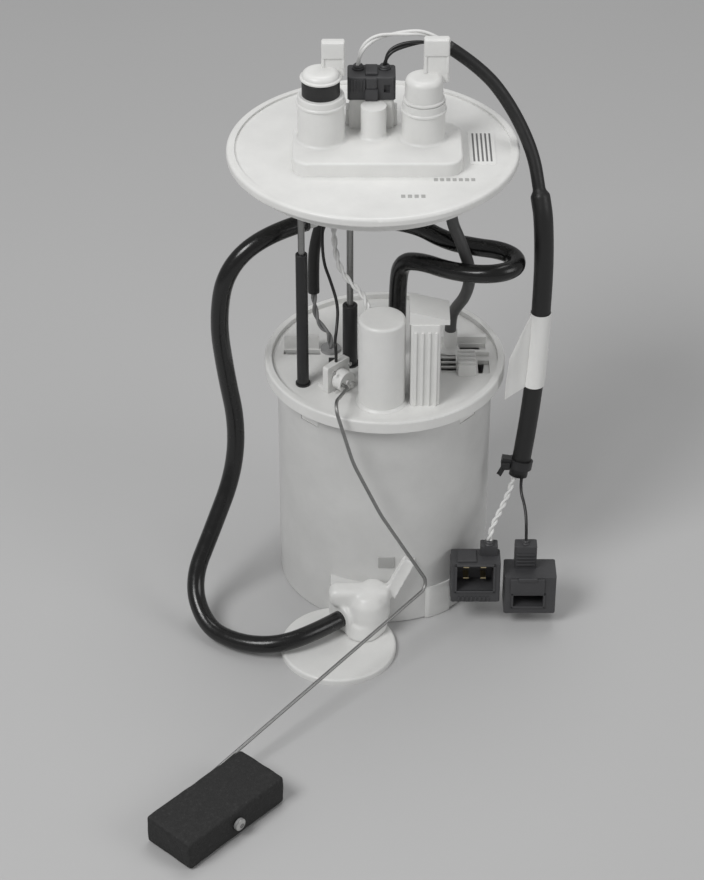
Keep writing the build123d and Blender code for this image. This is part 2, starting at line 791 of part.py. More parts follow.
# Nozzles below the flange: elbows for the return and feed hoses, a straight one for the vent
nozzle_starts = ((port_x[0], port_y[0]), (-12.0, 4.0))
nozzle_ways = ((-0.866, -0.5), (0.99, -0.14))
with BuildPart() as nozzles:
    for (x, y), (way_x, way_y) in zip(nozzle_starts, nozzle_ways):
        with BuildLine() as bend:
            FilletPolyline(
                (x, y, flange_bottom),
                (x, y, elbow_z),
                (x + elbow_reach * way_x, y + elbow_reach * way_y, elbow_z),
                radius=elbow_bend,
            )
        with BuildSketch(Plane(origin=bend.line @ 0, z_dir=(0, 0, -1))):
            Circle(elbow_radius)
            Circle(vent_bore, mode=Mode.SUBTRACT)
        sweep(path=bend.line)
        with BuildSketch(Plane(origin=bend.line @ 1, z_dir=(way_x, way_y, 0))):
            Circle(hose_bore - seat_gap)
            Circle(vent_bore, mode=Mode.SUBTRACT)
        extrude(amount=barb_length)
    with BuildSketch(Plane.XY.offset(vent_start_z)):
        with Locations(vent_start):
            Circle(vent_radius + 0.6)
            Circle(vent_bore - 0.8, mode=Mode.SUBTRACT)
    extrude(amount=flange_bottom - vent_start_z)
    with BuildSketch(Plane.XY.offset(vent_start_z)):
        with Locations(vent_start):
            Circle(vent_bore - seat_gap)
            Circle(vent_bore - 0.8, mode=Mode.SUBTRACT)
    extrude(amount=-0.6 * barb_length)
finish(nozzles, "flange_nozzles")

# Guide rods pressed into the flange's bosses, each with a clip below its boss
with BuildPart() as rods:
    for x, y, radius in zip(guide_x, guide_y, rod_radius):
        with BuildSketch(Plane.XY.offset(rod_bottom)):
            with Locations((x, y)):
                Circle(radius)
        extrude(amount=flange_bottom + rod_seat - rod_bottom)
    chamfer(rods.edges().group_by(Axis.Z)[0], 0.5)
finish(rods, "guide_rods")

with BuildPart() as clips:
    for x, y, radius in zip(guide_x, guide_y, rod_radius):
        with BuildSketch(Plane.XY.offset(flange_bottom - rod_boss_depth - clip_thickness)):
            with Locations((x, y)):
                Circle(clip_radius)
                Circle(radius + seat_gap / 2, mode=Mode.SUBTRACT)
            with Locations((x, y - clip_radius)):
                Rectangle(radius, 2 * clip_radius, mode=Mode.SUBTRACT)
        extrude(amount=clip_thickness)
finish(clips, "rod_clips")

# Header socket on the platform, its pins, and the harness connector plugged into it
pin_places = [(header_x + (index - 1.5) * wire_pitch, header_y) for index in range(4)]
with BuildPart() as header:
    with BuildSketch(Plane.XY.offset(platform_top)):
        with Locations((header_x, header_y)):
            RectangleRounded(header_length, header_width, 1.5)
    extrude(amount=header_height)
    with BuildSketch(Plane.XY.offset(platform_top + 3)):
        with Locations((header_x, header_y)):
            RectangleRounded(header_length - 2 * header_wall, header_width - 2 * header_wall, 1.0)
    extrude(amount=header_height, mode=Mode.SUBTRACT)
    with BuildSketch(Plane.XY.offset(platform_top)):
        with Locations(*pin_places):
            Rectangle(pin_width + seat_gap, pin_width + seat_gap)
    extrude(amount=3, mode=Mode.SUBTRACT)
finish(header, "header_socket")

with BuildPart() as pins:
    with BuildSketch(Plane.XY.offset(platform_top)):
        with Locations(*pin_places):
            Rectangle(pin_width, pin_width)
    extrude(amount=header_height - 3)
finish(pins, "header_pins")

tongue_length = header_length - 2 * header_wall - 2 * soft_gap
tongue_width = header_width - 2 * header_wall - 2 * soft_gap
with BuildPart() as connector:
    with BuildSketch(Plane.XY.offset(header_top)):
        with Locations((header_x, header_y)):
            RectangleRounded(connector_length, connector_width, 1.5)
    extrude(amount=connector_height)
    fillet(connector.edges().group_by(Axis.Z)[-1], 0.8)
    with BuildSketch(Plane.XY.offset(header_top)):
        with Locations((header_x, header_y)):
            RectangleRounded(tongue_length, tongue_width, 1.0)
    extrude(amount=-(header_height - 4))
    with BuildSketch(Plane.XY.offset(platform_top + 4)):
        with Locations(*pin_places):
            Rectangle(pin_width + 2 * soft_gap, pin_width + 2 * soft_gap)
    extrude(amount=header_height - 6, mode=Mode.SUBTRACT)
    with BuildSketch(Plane.XY.offset(header_top + soft_gap)):
        with Locations((header_x, header_y - connector_width / 2 - 0.9)):
            Rectangle(6.0, 1.8)
    extrude(amount=6)
    with BuildSketch(Plane.XY.offset(header_top + 4)):
        with Locations((header_x + 7.5, header_y - connector_width / 2)):
            Rectangle(3.0, 3.0)
    extrude(amount=4, mode=Mode.SUBTRACT)
finish(connector, "header_connector")

# Blanking plugs of the two ports, each with a stem in the bore, a head and a pull tab
for index, name in enumerate(("return_plug", "feed_plug")):
    middle = (port_x[index], port_y[index])
    top = collar_top[index]
    with BuildPart() as plug:
        with BuildSketch(Plane.XY.offset(top - plug_stem_length)):
            with Locations(middle):
                Circle(port_bore - soft_gap)
        extrude(amount=plug_stem_length + seal_height)
        if name == "feed_plug":
            with BuildSketch(Plane.XY.offset(top)):
                with Locations(middle):
                    Circle(seal_radius)
            extrude(amount=seal_height + plug_height[index])
        else:
            with BuildSketch(Plane.XY.offset(top + seal_height)):
                with Locations(middle):
                    Circle(seal_radius)
            extrude(amount=plug_height[index])
        fillet(plug.edges().group_by(Axis.Z)[-1], 3.0)
        with BuildSketch(Plane.XY.offset(top + seal_height)):
            with Locations((middle[0] + tab_shift_x, middle[1] + tab_shift_y)):
                RectangleRounded(tab_width[index], tab_thickness, 1.5)
        extrude(amount=tab_top[index] - top - seal_height)
        fillet(plug.edges().group_by(Axis.Z)[-1], 0.8)
    finish(plug, name)

with BuildPart() as seal:
    with BuildSketch(Plane.XY.offset(collar_top[0])):
        with Locations((port_x[0], port_y[0])):
            Circle(seal_radius)
            Circle(port_bore, mode=Mode.SUBTRACT)
    extrude(amount=seal_height - soft_gap)
    fillet(seal.edges().group_by(Axis.Z)[-1], 0.8)
finish(seal, "port_seal")

with BuildPart() as label:
    with BuildSketch(Plane.XY.offset(flange_top - flange_recess)):
        with Locations((47.0, 8.0)):
            RectangleRounded(13.0, 34.0, 0.8)
    extrude(amount=0.25)
finish(label, "flange_label")


def sender_point(along, across, height):
    """Place on the sender, counted from its pivot: along the axis, across it and up."""
    return (
        pivot_x + along * axis_x - across * axis_y,
        pivot_y + along * axis_y + across * axis_x,
        pivot_z + height,
    )


# Level sender: housing on the deck with the arm's axle, its card, and the rotor
deck_drop = deck_top - pivot_z
plate_rise = 9.0
plate_width = 16.0
plate_thickness = 3.5
plate_back = -rotor_thickness - 3.1 - soft_gap - plate_thickness
plate_front = plate_back + plate_thickness
rotor_back = plate_front + soft_gap
rotor_front = rotor_back + rotor_thickness
wire_hole = -3.6
with BuildPart() as sender_housing:
    with BuildSketch(sender_plane.offset(plate_back)):
        with Locations((0, (plate_rise + deck_drop) / 2)):
            RectangleRounded(plate_width, plate_rise - deck_drop, 1.0)
    extrude(amount=plate_thickness)
    with BuildSketch(sender_plane.offset(plate_back)):
        with Locations((0, deck_drop + 1.0)):
            Rectangle(plate_width - 4, 2.0)
    extrude(amount=-5)
    with BuildSketch(sender_plane.offset(plate_front)):
        Circle(axle_radius)
    extrude(amount=rotor_thickness + 2 * soft_gap + 0.6)
finish(sender_housing, "sender_housing")

with BuildPart() as card:
    with BuildSketch(sender_plane.offset(plate_back - 1.0)):
        with Locations((0, (plate_rise - 0.6 + deck_drop + 2.2) / 2)):
            Rectangle(plate_width - 2, plate_rise - 0.6 - deck_drop - 2.2)
    extrude(amount=1.0)
finish(card, "sender_card")

with BuildPart() as rotor:
    with BuildSketch(sender_plane.offset(rotor_back)):
        Circle(rotor_radius)
        Circle(axle_radius + running_fit, mode=Mode.SUBTRACT)
        with Locations((wire_hole, 0)):
            Circle(arm_wire_radius + seat_gap, mode=Mode.SUBTRACT)
    extrude(amount=rotor_thickness)
finish(rotor, "sender_rotor")

# Float arm: bent wire from the rotor over the rim, down to the elbow and out to the float
arm_reach = 51.0
float_gap = 2.7
float_near = arm_reach + float_gap
float_far = float_near + float_width
wire_across = -170.7
wire_height = float_rest + float_height / 2 - pivot_z
arm_points = [
    sender_point(rotor_back + 0.4, wire_hole, 0),
    sender_point(rotor_front + 3.6, wire_hole, 0),
    sender_point(13.2, -27.4, 8.0),
    (-16.4, -66.8, pivot_z - 24.7),
    (-2.2, -67.4, pivot_z - 56.9),
    sender_point(arm_reach, 3.8, -104.0),
    sender_point(arm_reach, wire_across, wire_height),
    sender_point(float_far + 2.6, wire_across, wire_height),
]
with BuildPart() as arm:
    with BuildLine() as route:
        FilletPolyline(*arm_points, radius=(3.0, 6.0, 60.0, 90.0, 5.0, 2.4))
    with BuildSketch(Plane(origin=route.line @ 0, z_dir=route.line % 0)):
        Circle(arm_wire_radius)
    sweep(path=route.line)
print(f"float_arm: length {route.wire().length:.1f}")
finish(arm, "float_arm")

float_plane = Plane(
    origin=sender_point(float_near, wire_across, wire_height),
    x_dir=(-axis_y, axis_x, 0),
    z_dir=(axis_x, axis_y, 0),
)
with BuildPart() as float_block:
    with BuildSketch(float_plane):
        Rectangle(float_length, float_height)
    extrude(amount=float_width)
    chamfer(float_block.edges(), 1.0)
    with BuildSketch(float_plane):
        Circle(arm_wire_radius + running_fit)
    extrude(amount=float_width, mode=Mode.SUBTRACT)
finish(float_block, "float")

with BuildPart() as float_clip:
    with BuildSketch(float_plane.offset(float_width + soft_gap)):
        Circle(3.2)
        Circle(arm_wire_radius + seat_gap / 2, mode=Mode.SUBTRACT)
    extrude(amount=1.4)
finish(float_clip, "float_clip")

# Hoses and wires between the flange and the pot
def nozzle_point(index, distance):
    x, y = nozzle_starts[index]
    way_x, way_y = nozzle_ways[index]
    return (x + (elbow_reach + distance) * way_x, y + (elbow_reach + distance) * way_y, elbow_z)


run_cord("return_hose", [
    nozzle_point(0, 0),
    nozzle_point(0, 23),
    (-79.5, -18.5, elbow_z - 16.0),
    (-84.5, -18.0, elbow_z - 46.0),
    (-81.5, -15.0, 132.0),
    (-76.5, -15.0, 100.0),
    (-79.0, -20.0, 72.0),
    (-90.0, -33.0, 46.0),
    (-101.5, -47.0, 21.0),
    (-93.5, -66.0, 6.0),
    (-76.0, -79.5, 6.2),
    (-56.0, -85.0, 9.2),
    (barrel_x - 19 * 0.77, barrel_y - 19 * 0.64, barrel_z),
    (barrel_x, barrel_y, barrel_z),
], hose_radius, hose_bore)
run_cord("feed_hose", [
    nozzle_point(1, 0),
    nozzle_point(1, 16),
    (30.0, -4.6, deck_top + 73.0),
    (45.0, -4.4, deck_top + 69.4),
    (57.5, -5.0, deck_top + 68.0),
    (65.0, -11.0, deck_top + 67.2),
    (64.5, -20.5, deck_top + 67.2),
    (56.5, -26.3, deck_top + 67.4),
    (45.0, -25.6, deck_top + 66.4),
    (31.0, -18.6, deck_top + 64.4),
    (18.0, -7.0, deck_top + 62.6),
    (8.3, 2.6, deck_top + 57.0),
    (outlet_x, outlet_y, deck_top + 43.0),
    (outlet_x, outlet_y, outlet_top - barb_length),
], hose_radius, hose_bore)
run_cord("vent_tube", [
    (*vent_start, vent_start_z),
    (*vent_start, vent_start_z - 15),
    (37.5, -12.8, deck_top + 76.0),
    (42.5, -14.3, deck_top + 61.0),
    (41.0, -7.0, deck_top + 43.0),
    (36.0, 5.6, deck_top + 27.0),
    (*vent_post, deck_top + vent_post_height + 8),
    (*vent_post, deck_top + vent_post_height),
], vent_radius, vent_bore)
sender_top = sender_point((plate_back + plate_front) / 2, 0, 0)[:2]
sleeve_corner = Vector(-36.8, 19.5, deck_top + 41.0)
sleeve_end = Vector(-36.6, 18.0, deck_top + 29.0)
sleeve_way = (sleeve_end - sleeve_corner).normalized()
run_cord("wire_sleeve", [
    (-22.0, 24.0, flange_bottom),
    (-22.0, 24.0, deck_top + 99.0),
    (-30.0, 22.5, deck_top + 77.0),
    (-36.0, 21.0, deck_top + 57.0),
    tuple(sleeve_corner),
    tuple(sleeve_end),
], sleeve_radius)
run_cord("pump_wires", [
    tuple(sleeve_end + sleeve_way * 0.5),
    tuple(sleeve_end + sleeve_way * 11),
    (-33.0, 11.0, deck_top + 12.5),
    (*grommet_place, deck_top + 10.0),
    (*grommet_place, deck_top + grommet_lip_height),
], pair_radius)
run_cord("sender_wire", [
    (-29.0, 17.0, flange_bottom),
    (-29.0, 17.0, deck_top + 99.0),
    (-32.0, 10.0, deck_top + 73.0),
    (-31.6, 1.0, deck_top + 58.0),
    (-27.6, -3.0, deck_top + 48.5),
    (-23.8, -10.5, deck_top + 38.5),
    (-24.6, -17.0, deck_top + 29.0),
    (-25.6, -22.6, deck_top + 25.0),
    (*sender_top, pivot_z + plate_rise + 8),
    (*sender_top, pivot_z + plate_rise),
], wire_radius)
run_cord("regulator_wires", [
    (-24.0, 13.0, flange_bottom),
    (-24.0, 13.0, deck_top + 99.0),
    (-26.6, 8.0, deck_top + 78.0),
    (-25.0, -3.0, deck_top + 62.0),
    (-20.5, -9.5, deck_top + 55.0),
    (-14.5, -13.5, deck_top + 51.0),
    (-10.5, -20.5, deck_top + 50.0),
    (terminal_place[0], terminal_place[1] + 1, terminal_top + 7.0),
    (terminal_place[0], terminal_place[1] + 1, terminal_top),
], pair_radius)

# Harness over the flange's edge: wires from the connector, sheath, tie, flag label
sheath_join = Vector(75.6, -4.0, flange_top - 20.0)
sheath_before = Vector(72.2, 5.0, flange_top - 2.0)
join_way = (sheath_join - sheath_before).normalized()
upper_route = [
    (29.8, 25.0, flange_top + 45.4),
    (46.5, 22.5, flange_top + 35.0),
    (61.0, 16.5, flange_top + 18.0),
    tuple(sheath_before),
    tuple(sheath_join),
]
lower_route = [
    tuple(sheath_join),
    tuple(sheath_join + join_way * 14),
    (79.2, -11.5, flange_top - 69.0),
    (76.0, -17.5, 112.0),
    (69.6, -26.0, 75.5),
]
upper_start = Vector(*upper_route[0])
upper_way = (Vector(*upper_route[1]) - upper_start).normalized()
upward = (Vector(0, 0, 1) - upper_way * upper_way.Z).normalized()
white_end = upper_start + upward * 1.65
black_end = upper_start - upward * 1.65
run_cord("white_wires_upper", [
    (header_x - 6.5, header_y + 2.8, connector_top),
    (header_x - 6.5, header_y + 2.8, connector_top + 8),
    (header_x + 0.5, header_y + 5.4, connector_top + 15.4),
    (header_x + 12.0, header_y + 6.6, connector_top + 17.0),
    tuple(white_end - upper_way * 11),
    tuple(white_end),
], pair_radius)
run_cord("black_wires_upper", [
    (header_x + 6.5, header_y + 2.8, connector_top),
    (header_x + 6.5, header_y + 2.8, connector_top + 6),
    (header_x + 12.5, header_y + 4.4, connector_top + 11.4),
    tuple(black_end - upper_way * 8),
    tuple(black_end),
], pair_radius)
with BuildPart() as sheath:
    for points, radius in ((upper_route, upper_sheath_radius), (lower_route, sheath_radius)):
        with BuildLine() as route:
            FilletPolyline(*points, radius=bend_radii(points))
        with BuildSketch(Plane(origin=route.line @ 0, z_dir=route.line % 0)):
            Circle(radius)
        sweep(path=route.line)
        print(f"harness_sheath: length {route.wire().length:.1f}, radii {[round(r, 1) for r in bend_radii(points)]}")
finish(sheath, "harness_sheath")

sheath_end = Vector(*lower_route[-1])
end_way = (sheath_end - Vector(*lower_route[-2])).normalized()
tie_plane = Plane(origin=sheath_end - end_way * tie_back, z_dir=end_way)
with BuildPart() as tie:
    with BuildSketch(tie_plane):
        Circle(sheath_radius + tie_wall)
        with Locations((0, sheath_radius + tie_head_width / 2)):
            Rectangle(tie_head_length, tie_head_width)
        Circle(sheath_radius + seat_gap, mode=Mode.SUBTRACT)
    extrude(amount=tie_height)
finish(tie, "cable_tie")

label_way = (Vector(*lower_route[3]) - Vector(*lower_route[2])).normalized()
label_plane = Plane(
    origin=Vector(*lower_route[2]) + label_way * label_start,
    x_dir=(0.5, -0.86, 0),
    z_dir=label_way,
)
with BuildPart() as flag:
    with BuildSketch(label_plane):
        Circle(sheath_radius + seat_gap + label_thickness)
    extrude(amount=label_height)
    with BuildSketch(label_plane.offset(label_drop)):
        with Locations((0, sheath_radius + label_flag / 2)):
            Rectangle(label_thickness, label_flag)
    extrude(amount=label_height + label_tail)
    with BuildLine() as route:
        FilletPolyline(*lower_route, radius=bend_radii(lower_route))
    with BuildSketch(Plane(origin=route.line @ 0, z_dir=route.line % 0)):
        Circle(sheath_radius + seat_gap)
    sweep(path=route.line, mode=Mode.SUBTRACT)
finish(flag, "flag_label")

# Two loose connectors at the harness's lower end, with their blades
left_front = (pot_radius - 20.7, -pot_radius - 2.5, 16.5)
left_size = (25.6, 13.6, 24.5)
left_socket = (12.4, 15.4, 18.8, 16.0, 11.0)
left_neck = (9.0, 6.4, 6.0)
right_front = (left_front[0] + left_size[0] + 2.4, -pot_radius - 2.5, 8.8)
right_size = (27.0, 16.0, 23.5)
right_socket = (12.6, 8.4, 15.6, 7.4, 10.0)
right_neck = (11.5, 7.2, 14.0)
left_entry = (left_front[0] + 19.7, left_front[1] + 10.4)
right_entry = (right_front[0] + 11.0, right_front[1] + 11.4)
left_mouth = Plane(
    origin=(left_front[0] + left_socket[0], left_front[1], left_front[2] + left_socket[1]),
    x_dir=(1, 0, 0),
    z_dir=(0, -1, 0),
)
right_mouth = Plane(
    origin=(right_front[0] + right_socket[0], right_front[1], right_front[2] + right_socket[1]),
    x_dir=(1, 0, 0),
    z_dir=(0, -1, 0),
)
with BuildPart() as left_connector:
    with BuildSketch(Plane.XY.offset(left_front[2])):
        with Locations((left_front[0] + left_size[0] / 2, left_front[1] + left_size[1] / 2)):
            RectangleRounded(left_size[0], left_size[1], 1.2)
    extrude(amount=left_size[2])
    with BuildSketch(Plane.XY.offset(left_front[2] + left_size[2])):
        with Locations(left_entry):
            RectangleRounded(left_neck[0], left_neck[1], 1.0)
    extrude(amount=left_neck[2])
    with BuildSketch(left_mouth):
        Rectangle(left_socket[2], left_socket[3])
    extrude(amount=-left_socket[4], mode=Mode.SUBTRACT)
finish(left_connector, "left_connector")

with BuildPart() as right_connector:
    with BuildSketch(Plane.XY.offset(right_front[2])):
        with Locations((right_front[0] + right_size[0] / 2, right_front[1] + right_size[1] / 2)):
            RectangleRounded(right_size[0], right_size[1], 1.2)
    extrude(amount=right_size[2])
    with BuildSketch(Plane.XY.offset(right_front[2] + right_size[2])):
        with Locations(right_entry):
            RectangleRounded(right_neck[0], right_neck[1], 1.0)
    extrude(amount=right_neck[2])
    with BuildSketch(right_mouth):
        Rectangle(right_socket[2], right_socket[3])
    extrude(amount=-right_socket[4], mode=Mode.SUBTRACT)
finish(right_connector, "right_connector")

with BuildPart() as blades:
    with BuildSketch(left_mouth.offset(-left_socket[4])):
        with GridLocations(9, 7, 2, 2):
            Rectangle(2.8, 0.8)
    extrude(amount=6)
    with BuildSketch(right_mouth.offset(-right_socket[4])):
        with GridLocations(7, 1, 2, 1):
            Rectangle(2.8, 0.8)
    extrude(amount=5)
finish(blades, "connector_blades")

end_plane = Plane(origin=sheath_end, x_dir=(1, 0, 0.17), z_dir=end_way)
run_cord("white_wires_lower", [
    tuple(end_plane.from_local_coords((-2.0, 0, 0))),
    tuple(end_plane.from_local_coords((-2.0, 0, 7.0))),
    (61.0, -37.0, 62.0),
    (*left_entry, left_front[2] + left_size[2] + left_neck[2] + 8),
    (*left_entry, left_front[2] + left_size[2] + left_neck[2]),
], pair_radius)
run_cord("black_wire_lower", [
    tuple(end_plane.from_local_coords((2.2, 0, 0))),
    tuple(end_plane.from_local_coords((2.2, 0, 7.0))),
    (73.6, -38.0, 62.0),
    (*right_entry, right_front[2] + right_size[2] + right_neck[2] + 7),
    (*right_entry, right_front[2] + right_size[2] + right_neck[2]),
], wire_radius)
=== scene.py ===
import bmesh
import bpy
from math import cos, pi, radians, sin
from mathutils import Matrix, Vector, noise


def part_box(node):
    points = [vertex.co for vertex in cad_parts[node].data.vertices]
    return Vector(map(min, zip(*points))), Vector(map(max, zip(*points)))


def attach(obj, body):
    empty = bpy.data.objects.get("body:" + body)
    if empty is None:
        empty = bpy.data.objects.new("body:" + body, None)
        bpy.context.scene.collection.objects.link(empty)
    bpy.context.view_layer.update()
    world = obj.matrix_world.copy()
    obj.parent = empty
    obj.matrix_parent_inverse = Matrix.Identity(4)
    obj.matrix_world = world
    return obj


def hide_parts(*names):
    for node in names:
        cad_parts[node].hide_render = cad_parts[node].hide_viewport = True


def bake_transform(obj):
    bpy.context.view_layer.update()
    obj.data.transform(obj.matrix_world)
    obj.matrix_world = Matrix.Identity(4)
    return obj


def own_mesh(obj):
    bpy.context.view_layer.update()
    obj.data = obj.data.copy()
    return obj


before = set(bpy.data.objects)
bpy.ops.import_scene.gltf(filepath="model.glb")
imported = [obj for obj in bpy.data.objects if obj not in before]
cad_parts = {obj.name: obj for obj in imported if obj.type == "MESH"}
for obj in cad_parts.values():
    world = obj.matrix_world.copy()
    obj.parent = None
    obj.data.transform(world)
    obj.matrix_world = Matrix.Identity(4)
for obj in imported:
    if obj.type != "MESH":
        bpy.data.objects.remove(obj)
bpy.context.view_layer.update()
print("frame loaded")

# The camera stands where the photograph was taken from, a little above the flange
cameraSpec = {"place": (-0.0169, -1.0792, 0.84285), "tilt": 54.72, "lens": 102.27, "sensor": 36}
cameraData = bpy.data.cameras.new("camera")
cameraData.lens = cameraSpec["lens"]
cameraData.sensor_width = cameraSpec["sensor"]
camera = bpy.data.objects.new("camera", cameraData)
camera.location = cameraSpec["place"]
camera.rotation_euler = (radians(cameraSpec["tilt"]), 0, 0)
bpy.context.collection.objects.link(camera)
bpy.context.scene.camera = camera


# Small helpers for node trees
def newMaterial(name):
    mat = bpy.data.materials.new(name)
    mat.use_nodes = True
    shader = mat.node_tree.nodes["Principled BSDF"]
    return mat, mat.node_tree.nodes, mat.node_tree.links, shader


def objectSpace(nodes, links, scale=(1, 1, 1), turn=(0, 0, 0)):
    coords = nodes.new("ShaderNodeTexCoord")
    mapping = nodes.new("ShaderNodeMapping")
    mapping.inputs["Scale"].default_value = scale
    mapping.inputs["Rotation"].default_value = turn
    links.new(coords.outputs["Object"], mapping.inputs["Vector"])
    return mapping.outputs["Vector"]


def noiseAt(nodes, links, vector, scale, detail=3.0, roughness=0.5):
    texture = nodes.new("ShaderNodeTexNoise")
    texture.inputs["Scale"].default_value = scale
    texture.inputs["Detail"].default_value = detail
    texture.inputs["Roughness"].default_value = roughness
    links.new(vector, texture.inputs["Vector"])
    return texture.outputs["Fac"]


def rampOf(nodes, links, fac, stops):
    ramp = nodes.new("ShaderNodeValToRGB")
    elements = ramp.color_ramp.elements
    for index, (position, shade) in enumerate(stops):
        element = elements[index] if index < 2 else elements.new(position)
        element.position = position
        tone = shade if isinstance(shade, tuple) else (shade, shade, shade)
        element.color = (*tone, 1)
    links.new(fac, ramp.inputs["Fac"])
    return ramp.outputs["Color"]


def bumpFrom(nodes, links, shader, height, strength, distance):
    bump = nodes.new("ShaderNodeBump")
    bump.inputs["Strength"].default_value = strength
    bump.inputs["Distance"].default_value = distance
    links.new(height, bump.inputs["Height"])
    links.new(bump.outputs["Normal"], shader.inputs["Normal"])


# A colour made darker or paler
def toned(tone, factor):
    return tuple(min(1, part * factor) for part in tone)


# Moulded plastic: faint flow marks in the colour, a fine grain and uneven gloss
def mouldedPlastic(name, tone, gloss=0.42, share=0.06, grain=900, dirt=0.0, glow=0.0):
    mat, nodes, links, shader = newMaterial(name)
    space = objectSpace(nodes, links)
    cloud = noiseAt(nodes, links, space, 26, 6, 0.62)
    stops = [(0.3, toned(tone, 1 - share)), (0.7, toned(tone, 1 + share * 0.5))]
    if dirt:
        stops.insert(0, (0.18, toned(tone, 1 - dirt)))
    links.new(rampOf(nodes, links, cloud, stops), shader.inputs["Base Color"])
    patches = noiseAt(nodes, links, space, 120, 3)
    rough = rampOf(nodes, links, patches, [(0.3, gloss - 0.06), (0.7, gloss + 0.07)])
    links.new(rough, shader.inputs["Roughness"])
    bumpFrom(nodes, links, shader, noiseAt(nodes, links, space, grain, 2), 0.12, 0.0003)
    if glow:
        shader.inputs["Subsurface Weight"].default_value = glow
        shader.inputs["Subsurface Radius"].default_value = (0.004, 0.004, 0.0038)
        shader.inputs["Subsurface Scale"].default_value = 1.0
    return mat


# Rubber hose: near black with a glossy skin and patches of fine dust
def hoseRubber(name, tone, gloss):
    mat, nodes, links, shader = newMaterial(name)
    space = objectSpace(nodes, links)
    dust = noiseAt(nodes, links, space, 260, 5, 0.6)
    shades = [(0.4, tone), (0.66, tone * 1.15), (0.85, tone * 1.9)]
    links.new(rampOf(nodes, links, dust, shades), shader.inputs["Base Color"])
    links.new(rampOf(nodes, links, dust, [(0.3, gloss), (0.75, gloss + 0.16)]), shader.inputs["Roughness"])
    bumpFrom(nodes, links, shader, noiseAt(nodes, links, space, 520, 3), 0.10, 0.0003)
    shader.inputs["Specular IOR Level"].default_value = 0.55
    return mat


# Drawn or pressed metal: fine streaks along one axis
def drawnMetal(name, tone, gloss, streak=(60, 60, 900)):
    mat, nodes, links, shader = newMaterial(name)
    space = objectSpace(nodes, links, streak)
    lines = noiseAt(nodes, links, space, 1.0, 4)
    shades = [(0.3, toned(tone, 0.82)), (0.7, tone)]
    links.new(rampOf(nodes, links, lines, shades), shader.inputs["Base Color"])
    glosses = [(0.3, gloss - 0.06), (0.7, gloss + 0.10)]
    links.new(rampOf(nodes, links, lines, glosses), shader.inputs["Roughness"])
    shader.inputs["Metallic"].default_value = 1.0
    bumpFrom(nodes, links, shader, lines, 0.08, 0.0002)
    return mat


# Closed-cell foam of the float: pitted black with worn grey edges
def floatFoam(name):
    mat, nodes, links, shader = newMaterial(name)
    space = objectSpace(nodes, links)
    cells = nodes.new("ShaderNodeTexVoronoi")
    cells.inputs["Scale"].default_value = 1400
    links.new(space, cells.inputs["Vector"])
    speck = noiseAt(nodes, links, space, 700, 4, 0.65)
    shades = [(0.35, 0.010), (0.6, 0.018), (0.78, 0.05)]
    links.new(rampOf(nodes, links, speck, shades), shader.inputs["Base Color"])
    shader.inputs["Roughness"].default_value = 0.72
    bumpFrom(nodes, links, shader, cells.outputs["Distance"], 0.5, 0.0004)
    return mat


# Filter cloth: two crossed sets of threads
def wovenCloth(name, tone, pitch):
    mat, nodes, links, shader = newMaterial(name)
    space = objectSpace(nodes, links)
    waves = []
    for direction in ("X", "Y"):
        wave = nodes.new("ShaderNodeTexWave")
        wave.bands_direction = direction
        wave.inputs["Scale"].default_value = pitch
        wave.inputs["Distortion"].default_value = 0.6
        links.new(space, wave.inputs["Vector"])
        waves.append(wave.outputs["Fac"])
    weave = nodes.new("ShaderNodeMath")
    weave.operation = "MULTIPLY"
    links.new(waves[0], weave.inputs[0])
    links.new(waves[1], weave.inputs[1])
    shades = [(0.0, tone * 0.7), (1.0, tone)]
    links.new(rampOf(nodes, links, weave.outputs[0], shades), shader.inputs["Base Color"])
    shader.inputs["Roughness"].default_value = 0.85
    bumpFrom(nodes, links, shader, weave.outputs[0], 0.4, 0.0003)
    return mat


